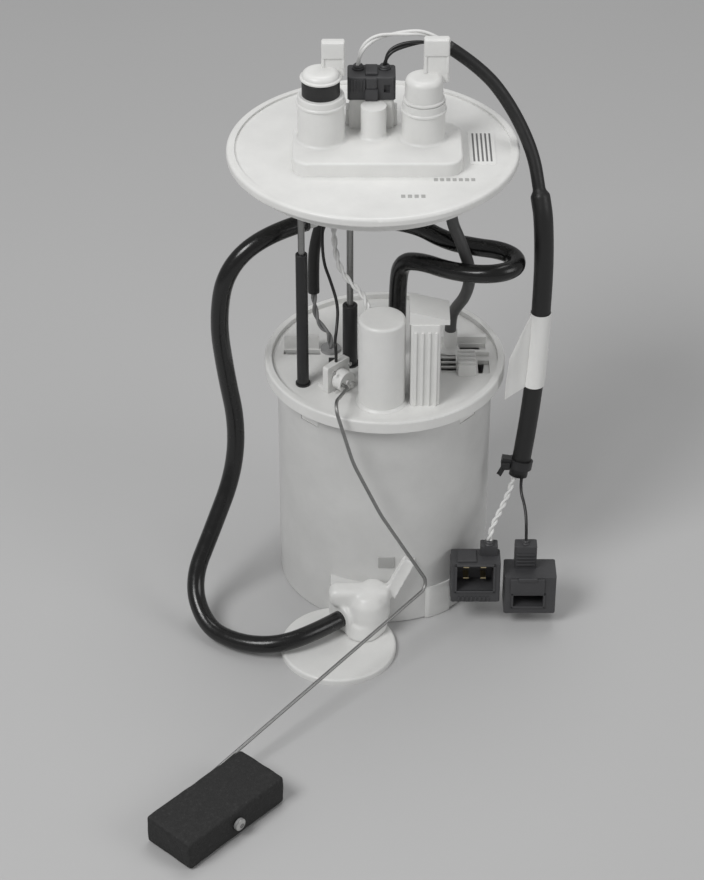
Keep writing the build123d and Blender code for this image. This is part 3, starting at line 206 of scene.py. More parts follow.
# Plastics give colour, gloss, share of the flow marks and grain; metals and rubbers colour and gloss
finish = {
    "whitePlastic": mouldedPlastic(
        "whitePlastic", (0.79, 0.79, 0.775), 0.36, 0.08, 1100, dirt=0.16, glow=0.08,
    ),
    "potPlastic": mouldedPlastic(
        "potPlastic", (0.66, 0.66, 0.65), 0.42, 0.09, 800, dirt=0.15, glow=0.12,
    ),
    "blackPlastic": mouldedPlastic("blackPlastic", (0.018, 0.018, 0.019), 0.42, 0.25, 1300),
    "connectorPlastic": mouldedPlastic("connectorPlastic", (0.055, 0.055, 0.058), 0.5, 0.2, 1200),
    "greyPlastic": mouldedPlastic("greyPlastic", (0.30, 0.30, 0.30), 0.5, 0.12, 1200),
    "hose": hoseRubber("hose", 0.0055, 0.16),
    "greyTube": hoseRubber("greyTube", 0.065, 0.42),
    "sealRubber": hoseRubber("sealRubber", 0.016, 0.42),
    "sleeving": hoseRubber("sleeving", 0.008, 0.40),
    "whiteWire": mouldedPlastic("whiteWire", (0.74, 0.74, 0.73), 0.4, 0.06, 1500),
    "blackWire": mouldedPlastic("blackWire", (0.015, 0.015, 0.015), 0.35, 0.2, 1500),
    "greyWire": mouldedPlastic("greyWire", (0.22, 0.22, 0.22), 0.4, 0.1, 1500),
    "foam": floatFoam("foam"),
    "steel": drawnMetal("steel", (0.34, 0.34, 0.335), 0.38),
    "zincSteel": drawnMetal("zincSteel", (0.62, 0.62, 0.61), 0.34),
    "brass": drawnMetal("brass", (0.66, 0.56, 0.34), 0.28),
    "copper": drawnMetal("copper", (0.66, 0.38, 0.24), 0.3),
    "magnet": mouldedPlastic("magnet", (0.07, 0.07, 0.07), 0.6, 0.2, 700),
    "carbon": mouldedPlastic("carbon", (0.03, 0.03, 0.03), 0.65, 0.2, 700),
    "ceramic": mouldedPlastic("ceramic", (0.55, 0.54, 0.50), 0.3, 0.1, 900),
    "filterCloth": wovenCloth("filterCloth", 0.5, 900),
    "paper": mouldedPlastic("paper", (0.80, 0.80, 0.785), 0.6, 0.03, 1800),
    "printGrey": mouldedPlastic("printGrey", (0.16, 0.16, 0.16), 0.6, 0.15, 1500),
    # Pale grey: printed marks on the flange, and painted shade on the pot's shallow window
    "paleMarkAndShade": mouldedPlastic("paleMarkAndShade", (0.42, 0.42, 0.41), 0.6, 0.12, 1500),
}
print("finishes made")

# Which finish each CAD node wears
nodeFinish = {
    "whitePlastic": (
        "pot_cover", "regulator_tower", "filter_box", "pump_holder", "jet_pump_body", "foot_strainer",
        "flange_plate", "header_socket", "return_plug", "feed_plug", "flange_nozzles",
        "pump_inlet_cover", "pump_end_cap", "sender_housing", "sender_rotor",
    ),
    "potPlastic": ("pot",),
    "blackPlastic": ("guide_tube_left", "guide_tube_centre", "pump_impeller", "cable_tie"),
    "connectorPlastic": ("header_connector", "left_connector", "right_connector"),
    "greyPlastic": ("float_clip", "wire_grommet"),
    "sealRubber": ("port_seal", "rubber_isolators"),
    "foam": ("float",),
    "steel": (
        "float_arm", "guide_rods", "rod_clips", "guide_spring_left", "guide_spring_centre",
        "pump_shaft", "pump_armature",
    ),
    "zincSteel": ("pump_can", "pressure_regulator"),
    "brass": ("pump_terminals", "header_pins", "connector_blades"),
    "copper": ("pump_commutator",),
    "magnet": ("pump_magnets",),
    "carbon": ("pump_brushes",),
    "ceramic": ("sender_card",),
    "filterCloth": ("filter_element", "inlet_filter"),
    "paper": ("flag_label", "flange_label"),
}
for name, owners in nodeFinish.items():
    for owner in owners:
        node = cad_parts[owner]
        node.data.materials.clear()
        node.data.materials.append(finish[name])
print("CAD nodes dressed")


# Cords: one smooth NURBS line through each route, and a mesh tube or strands that follow it
def nurbsLine(name, points):
    data = bpy.data.curves.new(name, "CURVE")
    data.dimensions = "3D"
    data.resolution_u = 14
    spline = data.splines.new("NURBS")
    spline.points.add(len(points) - 1)
    for target, place in zip(spline.points, points):
        target.co = (*place, 1)
    spline.order_u = 3
    spline.use_endpoint_u = True
    obj = bpy.data.objects.new(name, data)
    bpy.context.collection.objects.link(obj)
    return obj


# The line's points as Blender evaluates it
def linePoints(line):
    bpy.context.view_layer.update()
    mesh = bpy.data.meshes.new_from_object(line.evaluated_get(bpy.context.evaluated_depsgraph_get()))
    points = [v.co.copy() for v in mesh.vertices]
    bpy.data.meshes.remove(mesh)
    return points


# Two directions across the line at each of its points, turned as little as possible
def frameAlong(points):
    frames = []
    tangent = (points[1] - points[0]).normalized()
    side = tangent.orthogonal().normalized()
    for index, point in enumerate(points):
        ahead = points[min(index + 1, len(points) - 1)]
        behind = points[max(index - 1, 0)]
        newTangent = (ahead - behind).normalized()
        side = (side - newTangent * side.dot(newTangent)).normalized()
        frames.append((point, side, newTangent.cross(side)))
    return frames


# A ring of vertices round a middle, in the plane of two directions
def ringOf(bm, middle, side, across, radius, sides):
    ring = []
    for k in range(sides):
        angle = 2 * pi * k / sides
        ring.append(bm.verts.new(middle + (side * cos(angle) + across * sin(angle)) * radius))
    return ring


# Faces between two rings, where a ring of one vertex is a closed tip
def joinRings(bm, lower, upper):
    sides = max(len(lower), len(upper))
    faces = []
    for k in range(sides):
        after = (k + 1) % sides
        corners = [lower[k % len(lower)], lower[after % len(lower)]]
        corners += [upper[after % len(upper)], upper[k % len(upper)]]
        faces.append(bm.faces.new(list(dict.fromkeys(corners))))
    return faces


# One tube along the points, or strands that twist round each other turns times in a metre
def tubeMesh(name, points, radii, strands, offset, turns, sides):
    bm = bmesh.new()
    frames = frameAlong(points)
    run = [0.0]
    for a, b in zip(points, points[1:]):
        run.append(run[-1] + (b - a).length)
    for strand in range(strands):
        phase = 2 * pi * strand / strands
        rings = []
        for index, (point, side, up) in enumerate(frames):
            angle = phase + 2 * pi * turns * run[index]
            centre = point + (side * cos(angle) + up * sin(angle)) * offset
            rings.append(ringOf(bm, centre, side, up, radii[index], sides))
        for lower, upper in zip(rings, rings[1:]):
            for face in joinRings(bm, lower, upper):
                face.smooth = True
        bm.faces.new(list(reversed(rings[0])))
        bm.faces.new(rings[-1])
    bmesh.ops.recalc_face_normals(bm, faces=bm.faces)
    mesh = bpy.data.meshes.new(name)
    bm.to_mesh(mesh)
    bm.free()
    piece = bpy.data.objects.new(name, mesh)
    bpy.context.collection.objects.link(piece)
    return piece


# Heights listed for cords that run between the pot below and the flange above; a cord with them is only baked
# in place, fixed to no body
potToFlange = {"start": (0, 0, 0.150), "end": (0, 0, 0.208)}
sheathToFlange = {"start": (0, 0, 0.130), "end": (0, 0, 0.262)}
hoseToFlange = {"start": (0, 0, 0.070), "end": (0, 0, 0.206)}

# The harness is thinner over the flange than beside it, with a short taper between
harnessSpec = {"radius": 0.0049, "upperRadius": 0.0032, "taperTop": 0.2325, "taper": 0.0025}


def sheathRadius(point):
    share = min(1, max(0, (harnessSpec["taperTop"] - point.z) / harnessSpec["taper"]))
    return harnessSpec["upperRadius"] + (harnessSpec["radius"] - harnessSpec["upperRadius"]) * share


cords = {
    "harnessSheath": {
        "node": "harness_sheath", "finish": "sleeving", "slot": "sheath",
        "radius": harnessSpec["radius"], "radii": sheathRadius, "farEnd": "fitting",
        "stiffness": "medium", "lay": "hanging", "blend": sheathToFlange, "with": ("cable_tie",),
        "points": [
            (0.0298, 0.025, 0.2964), (0.0465, 0.0225, 0.286), (0.061, 0.0165, 0.269), (0.0722, 0.005, 0.249),
            (0.0756, -0.004, 0.231), (0.07793, -0.01017, 0.21865), (0.0792, -0.0115, 0.182),
            (0.076, -0.0175, 0.112), (0.0696, -0.026, 0.0755),
        ],
    },
    "whiteWiresUpper": {
        "node": "white_wires_upper", "finish": "whiteWire", "slot": "white_wire", "radius": 0.0015,
        "farEnd": "object", "stiffness": "limp", "lay": "loose", "blend": sheathToFlange,
        "strands": 2, "turns": 22,
        "points": [
            (-0.0139, 0.024, 0.285), (-0.0139, 0.024, 0.293), (-0.0069, 0.0266, 0.3004),
            (0.0046, 0.0278, 0.302), (0.0214, 0.02626, 0.30357), (0.03066, 0.02487, 0.2978),
        ],
    },
    "blackWiresUpper": {
        "node": "black_wires_upper", "finish": "blackWire", "slot": "black_wire", "radius": 0.0015,
        "farEnd": "object", "stiffness": "limp", "lay": "loose", "blend": sheathToFlange,
        "strands": 2, "turns": 22,
        "points": [
            (-0.0009, 0.024, 0.285), (-0.0009, 0.024, 0.291), (0.0051, 0.0256, 0.2964),
            (0.02221, 0.02614, 0.29919), (0.02894, 0.02513, 0.295),
        ],
    },
    "whiteWiresLower": {
        "node": "white_wires_lower", "finish": "whiteWire", "slot": "white_wire", "radius": 0.0015,
        "farEnd": "connector", "stiffness": "limp", "lay": "hanging", "body": "pot",
        "with": ("left_connector",), "strands": 2, "turns": 95,
        "points": [
            (0.06763, -0.02585, 0.07581), (0.06645, -0.02741, 0.06909), (0.061, -0.037, 0.062),
            (0.0545, -0.0476, 0.055), (0.0545, -0.0476, 0.047),
        ],
    },
    "blackWireLower": {
        "node": "black_wire_lower", "finish": "blackWire", "slot": "black_wire", "radius": 0.0008,
        "farEnd": "connector", "stiffness": "limp", "lay": "hanging", "body": "pot",
        "with": ("right_connector",),
        "points": [
            (0.07177, -0.02617, 0.07516), (0.07059, -0.02774, 0.06844), (0.0736, -0.038, 0.062),
            (0.0738, -0.0466, 0.0533), (0.0738, -0.0466, 0.0463),
        ],
    },
    "returnHose": {
        "node": "return_hose", "finish": "hose", "slot": "hose_rubber", "radius": 0.0046, "farEnd": "object",
        "stiffness": "medium", "lay": "hanging", "blend": hoseToFlange,
        "points": [
            (-0.03979, 0.0005, 0.212), (-0.05971, -0.011, 0.212), (-0.0795, -0.0185, 0.196),
            (-0.0845, -0.018, 0.166), (-0.0815, -0.015, 0.132), (-0.0765, -0.015, 0.100),
            (-0.079, -0.020, 0.072), (-0.090, -0.033, 0.046), (-0.1015, -0.047, 0.021),
            (-0.0935, -0.066, 0.006), (-0.076, -0.0795, 0.0062), (-0.056, -0.085, 0.0092),
            (-0.03763, -0.07816, 0.0115), (-0.023, -0.066, 0.0115),
        ],
    },
    "feedHose": {
        "node": "feed_hose", "finish": "hose", "slot": "hose_rubber", "radius": 0.0046, "farEnd": "object",
        "stiffness": "medium", "lay": "hanging", "blend": potToFlange,
        "points": [
            (-0.00309, 0.00274, 0.212), (0.01275, 0.0005, 0.212), (0.030, -0.0046, 0.204),
            (0.045, -0.0044, 0.2004), (0.0575, -0.005, 0.199), (0.065, -0.011, 0.1982),
            (0.0645, -0.0205, 0.1982), (0.0565, -0.0263, 0.1984), (0.045, -0.0256, 0.1974),
            (0.031, -0.0186, 0.1954), (0.018, -0.007, 0.1936), (0.0083, 0.0026, 0.188),
            (0.0063, 0.005, 0.174), (0.0063, 0.005, 0.150),
        ],
    },
    "ventTube": {
        "node": "vent_tube", "finish": "greyTube", "slot": "grey_tube", "radius": 0.003, "farEnd": "object",
        "stiffness": "medium", "lay": "hanging", "blend": potToFlange,
        "points": [
            (0.031, -0.009, 0.236), (0.031, -0.009, 0.221), (0.0375, -0.0128, 0.207),
            (0.0425, -0.0143, 0.192), (0.041, -0.007, 0.174), (0.036, 0.0056, 0.158),
            (0.034, 0.0085, 0.151), (0.034, 0.0085, 0.143),
        ],
    },
    "wireSleeve": {
        "node": "wire_sleeve", "finish": "sleeving", "slot": "sheath", "radius": 0.003, "farEnd": "object",
        "stiffness": "medium", "lay": "hanging", "blend": potToFlange,
        "points": [
            (-0.022, 0.024, 0.2464), (-0.022, 0.024, 0.230), (-0.030, 0.0225, 0.208),
            (-0.036, 0.021, 0.188), (-0.0368, 0.0195, 0.172), (-0.0366, 0.018, 0.160),
        ],
    },
    "pumpWires": {
        "node": "pump_wires", "finish": "greyWire", "slot": "grey_wire", "radius": 0.0015, "farEnd": "object",
        "stiffness": "limp", "lay": "hanging", "blend": potToFlange, "strands": 2, "turns": 60,
        "points": [
            (-0.036592, 0.017938, 0.159504), (-0.036418, 0.016636, 0.149086), (-0.033, 0.011, 0.1435),
            (-0.028, 0.008, 0.141), (-0.028, 0.008, 0.1326),
        ],
    },
    "senderWire": {
        "node": "sender_wire", "finish": "blackWire", "slot": "black_wire", "radius": 0.0008,
        "farEnd": "object", "stiffness": "limp", "lay": "hanging", "blend": potToFlange,
        "points": [
            (-0.029, 0.017, 0.2464), (-0.029, 0.017, 0.230), (-0.032, 0.010, 0.204), (-0.0316, 0.001, 0.189),
            (-0.0276, -0.003, 0.1795), (-0.0238, -0.0105, 0.1695), (-0.0246, -0.017, 0.160),
            (-0.0256, -0.0226, 0.156), (-0.02492, -0.02573, 0.154), (-0.02492, -0.02573, 0.146),
        ],
    },
    "regulatorWires": {
        "node": "regulator_wires", "finish": "whiteWire", "slot": "white_wire", "radius": 0.0015,
        "farEnd": "object", "stiffness": "limp", "lay": "hanging", "blend": potToFlange,
        "strands": 2, "turns": 75,
        "points": [
            (-0.024, 0.013, 0.2464), (-0.024, 0.013, 0.230), (-0.0266, 0.008, 0.209), (-0.025, -0.003, 0.193),
            (-0.0205, -0.0095, 0.186), (-0.0145, -0.0135, 0.182), (-0.0105, -0.0205, 0.181),
            (-0.009, -0.0246, 0.178), (-0.009, -0.0246, 0.171),
        ],
    },
}

cordLines = {}
tubeSpec = {"sides": 18}
pairSpec = {"sides": 10, "thickness": 0.56, "offset": 0.52}  # shares of the pair's radius


def makeCord(name, spec):
    line = nurbsLine(name + "Line", spec["points"])
    points = linePoints(line)
    bpy.data.objects.remove(line)
    cordLines[name] = points
    strands = spec.get("strands", 1)
    if strands == 1:
        radius, offset, sides = spec["radius"], 0.0, tubeSpec["sides"]
    else:
        radius, offset = spec["radius"] * pairSpec["thickness"], spec["radius"] * pairSpec["offset"]
        sides = pairSpec["sides"]
    radiusAt = spec.get("radii", lambda point: radius)
    radii = [radiusAt(point) for point in points]
    piece = tubeMesh(name, points, radii, strands, offset, spec.get("turns", 0.0), sides)
    piece.data.materials.append(finish[spec["finish"]])
    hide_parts(spec["node"])
    if "blend" in spec:
        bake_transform(piece)
    else:
        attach(piece, spec["body"])


for cordName, cordSpec in cords.items():
    makeCord(cordName, cordSpec)
print("cords laid")


# A block with rounded edges, its length along one direction and its height near another
def addBlock(bm, middle, size, along=(1, 0, 0), up=(0, 0, 1), rounding=0.0005):
    x = Vector(along).normalized()
    z = Vector(up)
    z = (z - x * z.dot(x)).normalized()
    y = z.cross(x)
    verts = bmesh.ops.create_cube(bm, size=1.0)["verts"]
    for vert in verts:
        offset = x * vert.co.x * size[0] + y * vert.co.y * size[1] + z * vert.co.z * size[2]
        vert.co = Vector(middle) + offset
    edges = list({edge for vert in verts for edge in vert.link_edges})
    bmesh.ops.bevel(bm, geom=edges, offset=rounding, segments=3, profile=0.6, affect="EDGES")


# A turned solid: profile lists radius and height from the foot up, and a radius of 0 is a tip
def addTurned(bm, foot, profile, axis=(0, 0, 1), sides=40):
    way = Vector(axis).normalized()
    side = way.orthogonal().normalized()
    across = way.cross(side)
    rings = []
    for radius, height in profile:
        middle = Vector(foot) + way * height
        if radius == 0:
            rings.append([bm.verts.new(middle)])
        else:
            rings.append(ringOf(bm, middle, side, across, radius, sides))
    for lower, upper in zip(rings, rings[1:]):
        joinRings(bm, lower, upper)


# A ring whose section is listed as radius and height all the way round
def addCollar(bm, foot, section, axis=(0, 0, 1), sides=56):
    way = Vector(axis).normalized()
    side = way.orthogonal().normalized()
    across = way.cross(side)
    rings = [ringOf(bm, Vector(foot) + way * height, side, across, radius, sides) for radius, height in section]
    for lower, upper in zip(rings, rings[1:] + rings[:1]):
        joinRings(bm, lower, upper)


def closePiece(bm, name, material, body, smoothAngle=38):
    bmesh.ops.recalc_face_normals(bm, faces=bm.faces)
    mesh = bpy.data.meshes.new(name)
    bm.to_mesh(mesh)
    bm.free()
    return dressPiece(mesh, name, material, body, smoothAngle)


# A finished piece: smooth but for edges past the angle, with its material and body
def dressPiece(mesh, name, material, body, smoothAngle=38):
    mesh.materials.clear()
    mesh.materials.append(finish[material])
    for polygon in mesh.polygons:
        polygon.use_smooth = True
    mesh.set_sharp_from_angle(angle=radians(smoothAngle))
    piece = bpy.data.objects.new(name, mesh)
    bpy.context.collection.objects.link(piece)
    if body:
        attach(piece, body)
    return piece


# The mesh that an object's modifiers make of it; the object goes
def applied(obj):
    bpy.context.view_layer.update()
    mesh = bpy.data.meshes.new_from_object(obj.evaluated_get(bpy.context.evaluated_depsgraph_get()))
    old = obj.data
    bpy.data.objects.remove(obj)
    bpy.data.meshes.remove(old)
    return mesh


# A row of bars by Geometry Nodes, each input a number, then applied into a plain mesh
def barRow(name, material, body, slot, start, step, count, size):
    tree = bpy.data.node_groups.new(name + "Tree", "GeometryNodeTree")
    interface = tree.interface
    interface.new_socket("Geometry", in_out="INPUT", socket_type="NodeSocketGeometry")
    inputs = {
        "Start": ("NodeSocketVector", start), "Step": ("NodeSocketVector", step),
        "Size": ("NodeSocketVector", size), "Count": ("NodeSocketInt", count),
    }
    sockets = {
        label: interface.new_socket(label, in_out="INPUT", socket_type=kind)
        for label, (kind, _) in inputs.items()
    }
    interface.new_socket("Geometry", in_out="OUTPUT", socket_type="NodeSocketGeometry")
    nodes, links = tree.nodes, tree.links
    enter, leave = nodes.new("NodeGroupInput"), nodes.new("NodeGroupOutput")
    line, cube = nodes.new("GeometryNodeMeshLine"), nodes.new("GeometryNodeMeshCube")
    onPoints = nodes.new("GeometryNodeInstanceOnPoints")
    realize = nodes.new("GeometryNodeRealizeInstances")
    setMaterial = nodes.new("GeometryNodeSetMaterial")
    setMaterial.inputs["Material"].default_value = finish[material]
    links.new(enter.outputs["Count"], line.inputs["Count"])
    links.new(enter.outputs["Start"], line.inputs["Start Location"])
    links.new(enter.outputs["Step"], line.inputs["Offset"])
    links.new(enter.outputs["Size"], cube.inputs["Size"])
    links.new(line.outputs["Mesh"], onPoints.inputs["Points"])
    links.new(cube.outputs["Mesh"], onPoints.inputs["Instance"])
    links.new(onPoints.outputs["Instances"], realize.inputs["Geometry"])
    links.new(realize.outputs["Geometry"], setMaterial.inputs["Geometry"])
    links.new(setMaterial.outputs["Geometry"], leave.inputs["Geometry"])
    carrier = bpy.data.objects.new(name + "Carrier", bpy.data.meshes.new(name + "Carrier"))
    bpy.context.collection.objects.link(carrier)
    modifier = carrier.modifiers.new("bars", "NODES")
    modifier.node_group = tree
    for label, (_, value) in inputs.items():
        modifier[sockets[label].identifier] = value
    rounding = carrier.modifiers.new("rounding", "BEVEL")
    rounding.width = min(size) * 0.3
    rounding.segments = 2
    rounding.limit_method = "NONE"
    return dressPiece(applied(carrier), name, material, body)


# A CAD node's triangles come loose, so a copy is merged before it is worked on
def mergedCopy(node):
    bm = bmesh.new()
    bm.from_mesh(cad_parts[node].data)
    bmesh.ops.remove_doubles(bm, verts=bm.verts, dist=1e-5)
    return bm


# Remeshed into one skin and relaxed, so that its edges and joins go soft
def softened(bm, name, voxel, passes, factor=0.6):
    mesh = bpy.data.meshes.new(name + "Raw")
    bm.to_mesh(mesh)
    bm.free()
    carrier = bpy.data.objects.new(name + "Raw", mesh)
    bpy.context.collection.objects.link(carrier)
    remesh = carrier.modifiers.new("remesh", "REMESH")
    remesh.mode = "VOXEL"
    remesh.voxel_size = voxel
    relax = carrier.modifiers.new("relax", "SMOOTH")
    relax.factor = factor
    relax.iterations = passes
    return applied(carrier)


# Flange: rounded feet where the collars and the boss meet the platform, and seats for the header
flangeSpec = {
    "platformTop": 0.257, "foot": 0.0016, "footSteps": 5, "wall": 0.0008, "sunk": 0.0004,
    "collars": ((-0.032, 0.005, 0.0115), (0.018, 0.006, 0.0106), (-0.0064, 0.008, 0.0063)),
    "collarTops": (0.281, 0.277), "beadDrop": 0.0052,
    "bead": (
        (-0.0006, 0), (0.0002, 0), (0.0007, 0.0005), (0.0007, 0.0013), (0.0002, 0.0018), (-0.0006, 0.0018),
    ),
    "seatAt": (-0.0074, 0.0212, 0.2615), "seatApart": 0.0116, "seatSize": (0.0022, 0.0070, 0.0090),
}
bm = bmesh.new()
foot, wall, sunk = flangeSpec["foot"], flangeSpec["wall"], flangeSpec["sunk"]
for x, y, radius in flangeSpec["collars"]:
    section = [(radius - wall, -sunk), (radius + foot, -sunk)]
    for k in range(flangeSpec["footSteps"] + 1):
        turn = pi / 2 * k / flangeSpec["footSteps"]
        section.append((radius + foot * (1 - sin(turn)), foot * (1 - cos(turn))))
    section.append((radius - wall, foot))
    addCollar(bm, (x, y, flangeSpec["platformTop"]), section)
for (x, y, radius), top in zip(flangeSpec["collars"], flangeSpec["collarTops"]):
    bead = [(radius + out, height) for out, height in flangeSpec["bead"]]
    addCollar(bm, (x, y, top - flangeSpec["beadDrop"]), bead)
seatX, seatY, seatZ = flangeSpec["seatAt"]
for side in (-1, 1):
    seatAt = (seatX + side * flangeSpec["seatApart"], seatY, seatZ)
    addBlock(bm, seatAt, flangeSpec["seatSize"], rounding=0.0006)
closePiece(bm, "flangeFeet", "whitePlastic", "flange")

# Blank sticker on the flange with plain even bars, and faint generic marks in two rows
stickerSpec = {
    "start": (0.0428, 0.008, 0.25008), "step": (0.0021, 0, 0), "count": 5, "size": (0.0009, 0.0285, 0.00012),
}
marksSpec = {
    "start": (0.0235, -0.0240, 0.24984), "step": (0.0030, 0, 0), "count": 7, "size": (0.0019, 0.0028, 0.00012),
}
marksLowSpec = {
    "start": (0.0075, -0.0400, 0.24984), "step": (0.0032, 0, 0), "count": 4, "size": (0.0020, 0.0030, 0.00012),
}
barRow("stickerBars", "printGrey", "flange", "grey_plastic", **stickerSpec)
barRow("flangeMarks", "paleMarkAndShade", "flange", "grey_plastic", **marksSpec)
barRow("flangeMarksLow", "paleMarkAndShade", "flange", "grey_plastic", **marksLowSpec)
print("flange detailed")

# Blanking plugs: a lip round each cap, and a thicker upper pad and edge ribs on each pull tab
plugSpecs = {
    "return_plug": {
        "at": (-0.032, 0.005), "lipZ": 0.2890, "tabWidth": 0.0115, "tabTop": 0.307, "tabFoot": 0.2935,
    },
    "feed_plug": {
        "at": (0.018, 0.006), "lipZ": 0.2770, "tabWidth": 0.0126, "tabTop": 0.308, "tabFoot": 0.2905,
    },
}
lipSection = (
    (0.0085, 0.0001), (0.0096, 0.0001), (0.0102, 0.0006), (0.0102, 0.0013), (0.0096, 0.0018), (0.0085, 0.0018),
)
tabSpec = {
    "shift": (0.006, 0.005), "faceOut": 0.0021,
    "padDrop": 0.0046, "padThickness": 0.0016, "padHeight": 0.0084, "padInset": 0.0008,
    "ribInset": 0.0010, "ribWidth": 0.0013, "ribThickness": 0.0011, "ribShort": 0.008, "ribDrop": 0.009,
}
for plugName, spec in plugSpecs.items():
    bm = bmesh.new()
    plugX, plugY = spec["at"]
    addCollar(bm, (plugX, plugY, spec["lipZ"]), lipSection)
    tabX, tabY = plugX + tabSpec["shift"][0], plugY + tabSpec["shift"][1]
    width, top, foot = spec["tabWidth"], spec["tabTop"], spec["tabFoot"]
    padSize = (width - tabSpec["padInset"], tabSpec["padThickness"], tabSpec["padHeight"])
    ribSize = (tabSpec["ribWidth"], tabSpec["ribThickness"], top - tabSpec["ribShort"] - foot)
    for side in (-1, 1):
        faceY = tabY + side * tabSpec["faceOut"]
        addBlock(bm, (tabX, faceY, top - tabSpec["padDrop"]), padSize, rounding=0.0006)
        for edge in (-1, 1):
            ribX = tabX + edge * (width / 2 - tabSpec["ribInset"])
            addBlock(bm, (ribX, faceY, (foot + top - tabSpec["ribDrop"]) / 2), ribSize, rounding=0.0004)
    closePiece(bm, plugName + "Detail", "whitePlastic", plugName)
print("plugs detailed")

# Harness connector on the header: grip ribs, latch lever with its nose, and wire seals
gripRibs = {
    "start": (-0.0172, 0.01375, 0.2805), "step": (0.0016, 0, 0), "count": 5, "size": (0.0007, 0.0009, 0.0065),
}
latchSpec = {
    "sealsAt": ((-0.0139, 0.024, 0.2846), (-0.0009, 0.024, 0.2846)),
    "seal": (
        (0, 0), (0.0030, 0), (0.0030, 0.0010), (0.0026, 0.0014),
        (0.0026, 0.0020), (0.0021, 0.0026), (0, 0.0026),
    ),
    "leverAt": (-0.0074, 0.0213, 0.2856), "leverSize": (0.0060, 0.0100, 0.0014),
    "noseAt": (-0.0074, 0.0136, 0.2820), "noseSize": (0.0052, 0.0016, 0.0060),
}
barRow("headerRibs", "connectorPlastic", "flange", "dark_grey_plastic", **gripRibs)
bm = bmesh.new()
for sealAt in latchSpec["sealsAt"]:
    addTurned(bm, sealAt, latchSpec["seal"], sides=28)
addBlock(bm, latchSpec["leverAt"], latchSpec["leverSize"], rounding=0.0004)
addBlock(bm, latchSpec["noseAt"], latchSpec["noseSize"], rounding=0.0004)
closePiece(bm, "headerLatch", "connectorPlastic", "flange")
print("header detailed")

# Cover: beads at the feet of the tower and the post, a bar, ribs on the block and bars in the window
deckSpec = {
    "towerAt": (-0.002, -0.038, 0.131),
    "towerBead": (
        (0.0112, -0.0003), (0.0132, -0.0003), (0.0131, 0.0002),
        (0.0125, 0.0006), (0.0120, 0.0014), (0.0112, 0.0014),
    ),
    "postAt": (0.034, 0.0085, 0.131),
    "postBead": (
        (0.0030, -0.0003), (0.0052, -0.0003), (0.0050, 0.0002),
        (0.0041, 0.0010), (0.0038, 0.0022), (0.0030, 0.0022),
    ),
    "barAt": (0.0480, 0.0030, 0.1320), "barSize": (0.0120, 0.0014, 0.0026),
}
bm = bmesh.new()
addCollar(bm, deckSpec["towerAt"], deckSpec["towerBead"])
addCollar(bm, deckSpec["postAt"], deckSpec["postBead"])
addBlock(bm, deckSpec["barAt"], deckSpec["barSize"], rounding=0.0004)
closePiece(bm, "deckBeads", "whitePlastic", "pot")
blockRibs = {
    "start": (0.042, -0.0145, 0.1380), "step": (0, 0.0036, 0), "count": 4, "size": (0.0086, 0.0014, 0.0016),
}
windowBars = {
    "start": (0.0328, -0.0112, 0.1300), "step": (0, 0.0044, 0), "count": 4, "size": (0.0082, 0.0011, 0.0013),
}
barRow("blockRibs", "whitePlastic", "pot", "white_plastic", **blockRibs)
barRow("windowBars", "whitePlastic", "pot", "white_plastic", **windowBars)
print("cover detailed")

# Jet pump: the fused moulding with soft corners, its soft lumps and the small strut beside it
jetSpec = {
    "voxel": 0.0006, "passes": 26,
    "mouthAt": (-0.0165, -0.0606, 0.0115), "mouthAxis": (0.77, 0.64, 0),
    "mouth": ((0, -0.002), (0.0085, -0.002), (0.0098, 0.004), (0.0094, 0.010), (0, 0.012)),
    "bodyAt": (-0.0085, -0.0630, 0.0040),
    "body": (
        (0, 0), (0.0100, 0), (0.0106, 0.0060), (0.0110, 0.0120),
        (0.0100, 0.0180), (0.0066, 0.0225), (0, 0.0240),
    ),
    "capAt": (-0.0060, -0.0590, 0.0210),
    "cap": ((0, 0), (0.0076, 0), (0.0074, 0.0050), (0.0052, 0.0082), (0, 0.0090)),
    "strutTop": (0.0128, -0.0560, 0.0430), "strutFoot": (0.0030, -0.0590, 0.0230),
    "strutWidth": 0.0046, "strutThickness": 0.0058,
}
bm = mergedCopy("jet_pump_body")
addTurned(bm, jetSpec["mouthAt"], jetSpec["mouth"], axis=jetSpec["mouthAxis"], sides=36)
addTurned(bm, jetSpec["bodyAt"], jetSpec["body"], sides=40)
addTurned(bm, jetSpec["capAt"], jetSpec["cap"], sides=36)
strutTop, strutFoot = Vector(jetSpec["strutTop"]), Vector(jetSpec["strutFoot"])
strut = strutTop - strutFoot
strutSize = (strut.length, jetSpec["strutWidth"], jetSpec["strutThickness"])
addBlock(bm, (strutTop + strutFoot) / 2, strutSize, along=strut, up=(1, 0, 0), rounding=0.0016)
bmesh.ops.recalc_face_normals(bm, faces=bm.faces)
jetMesh = softened(bm, "jetPump", jetSpec["voxel"], jetSpec["passes"])
jetPump = dressPiece(jetMesh, "jetPump", "whitePlastic", "pot", 75)
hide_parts("jet_pump_body")
print("jet pump softened")

# Float: foam block with worn corners and an uneven skin, and a ring on the clip at the wire's end
floatSpec = {"voxel": 0.0007, "passes": 3, "uneven": 0.00025, "grain": 140}
clipSpec = {
    "axis": (0.737, -0.676, 0), "out": 0.0006,
    "ring": (
        (0.0012, 0), (0.0030, 0), (0.0031, 0.0003), (0.0027, 0.0006), (0.0019, 0.0007), (0.0012, 0.0010),
    ),
}
floatMesh = softened(mergedCopy("float"), "floatBlock", floatSpec["voxel"], floatSpec["passes"])
for vert in floatMesh.vertices:
    vert.co += vert.normal * floatSpec["uneven"] * noise.noise(vert.co * floatSpec["grain"])
floatBlock = dressPiece(floatMesh, "floatBlock", "foam", "float", 80)
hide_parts("float")
armAxis = Vector(clipSpec["axis"]).normalized()
clipMiddle = Vector([(low + high) / 2 for low, high in zip(*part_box("float_clip"))])
bm = bmesh.new()
addCollar(bm, clipMiddle + armAxis * clipSpec["out"], clipSpec["ring"], axis=armAxis, sides=36)
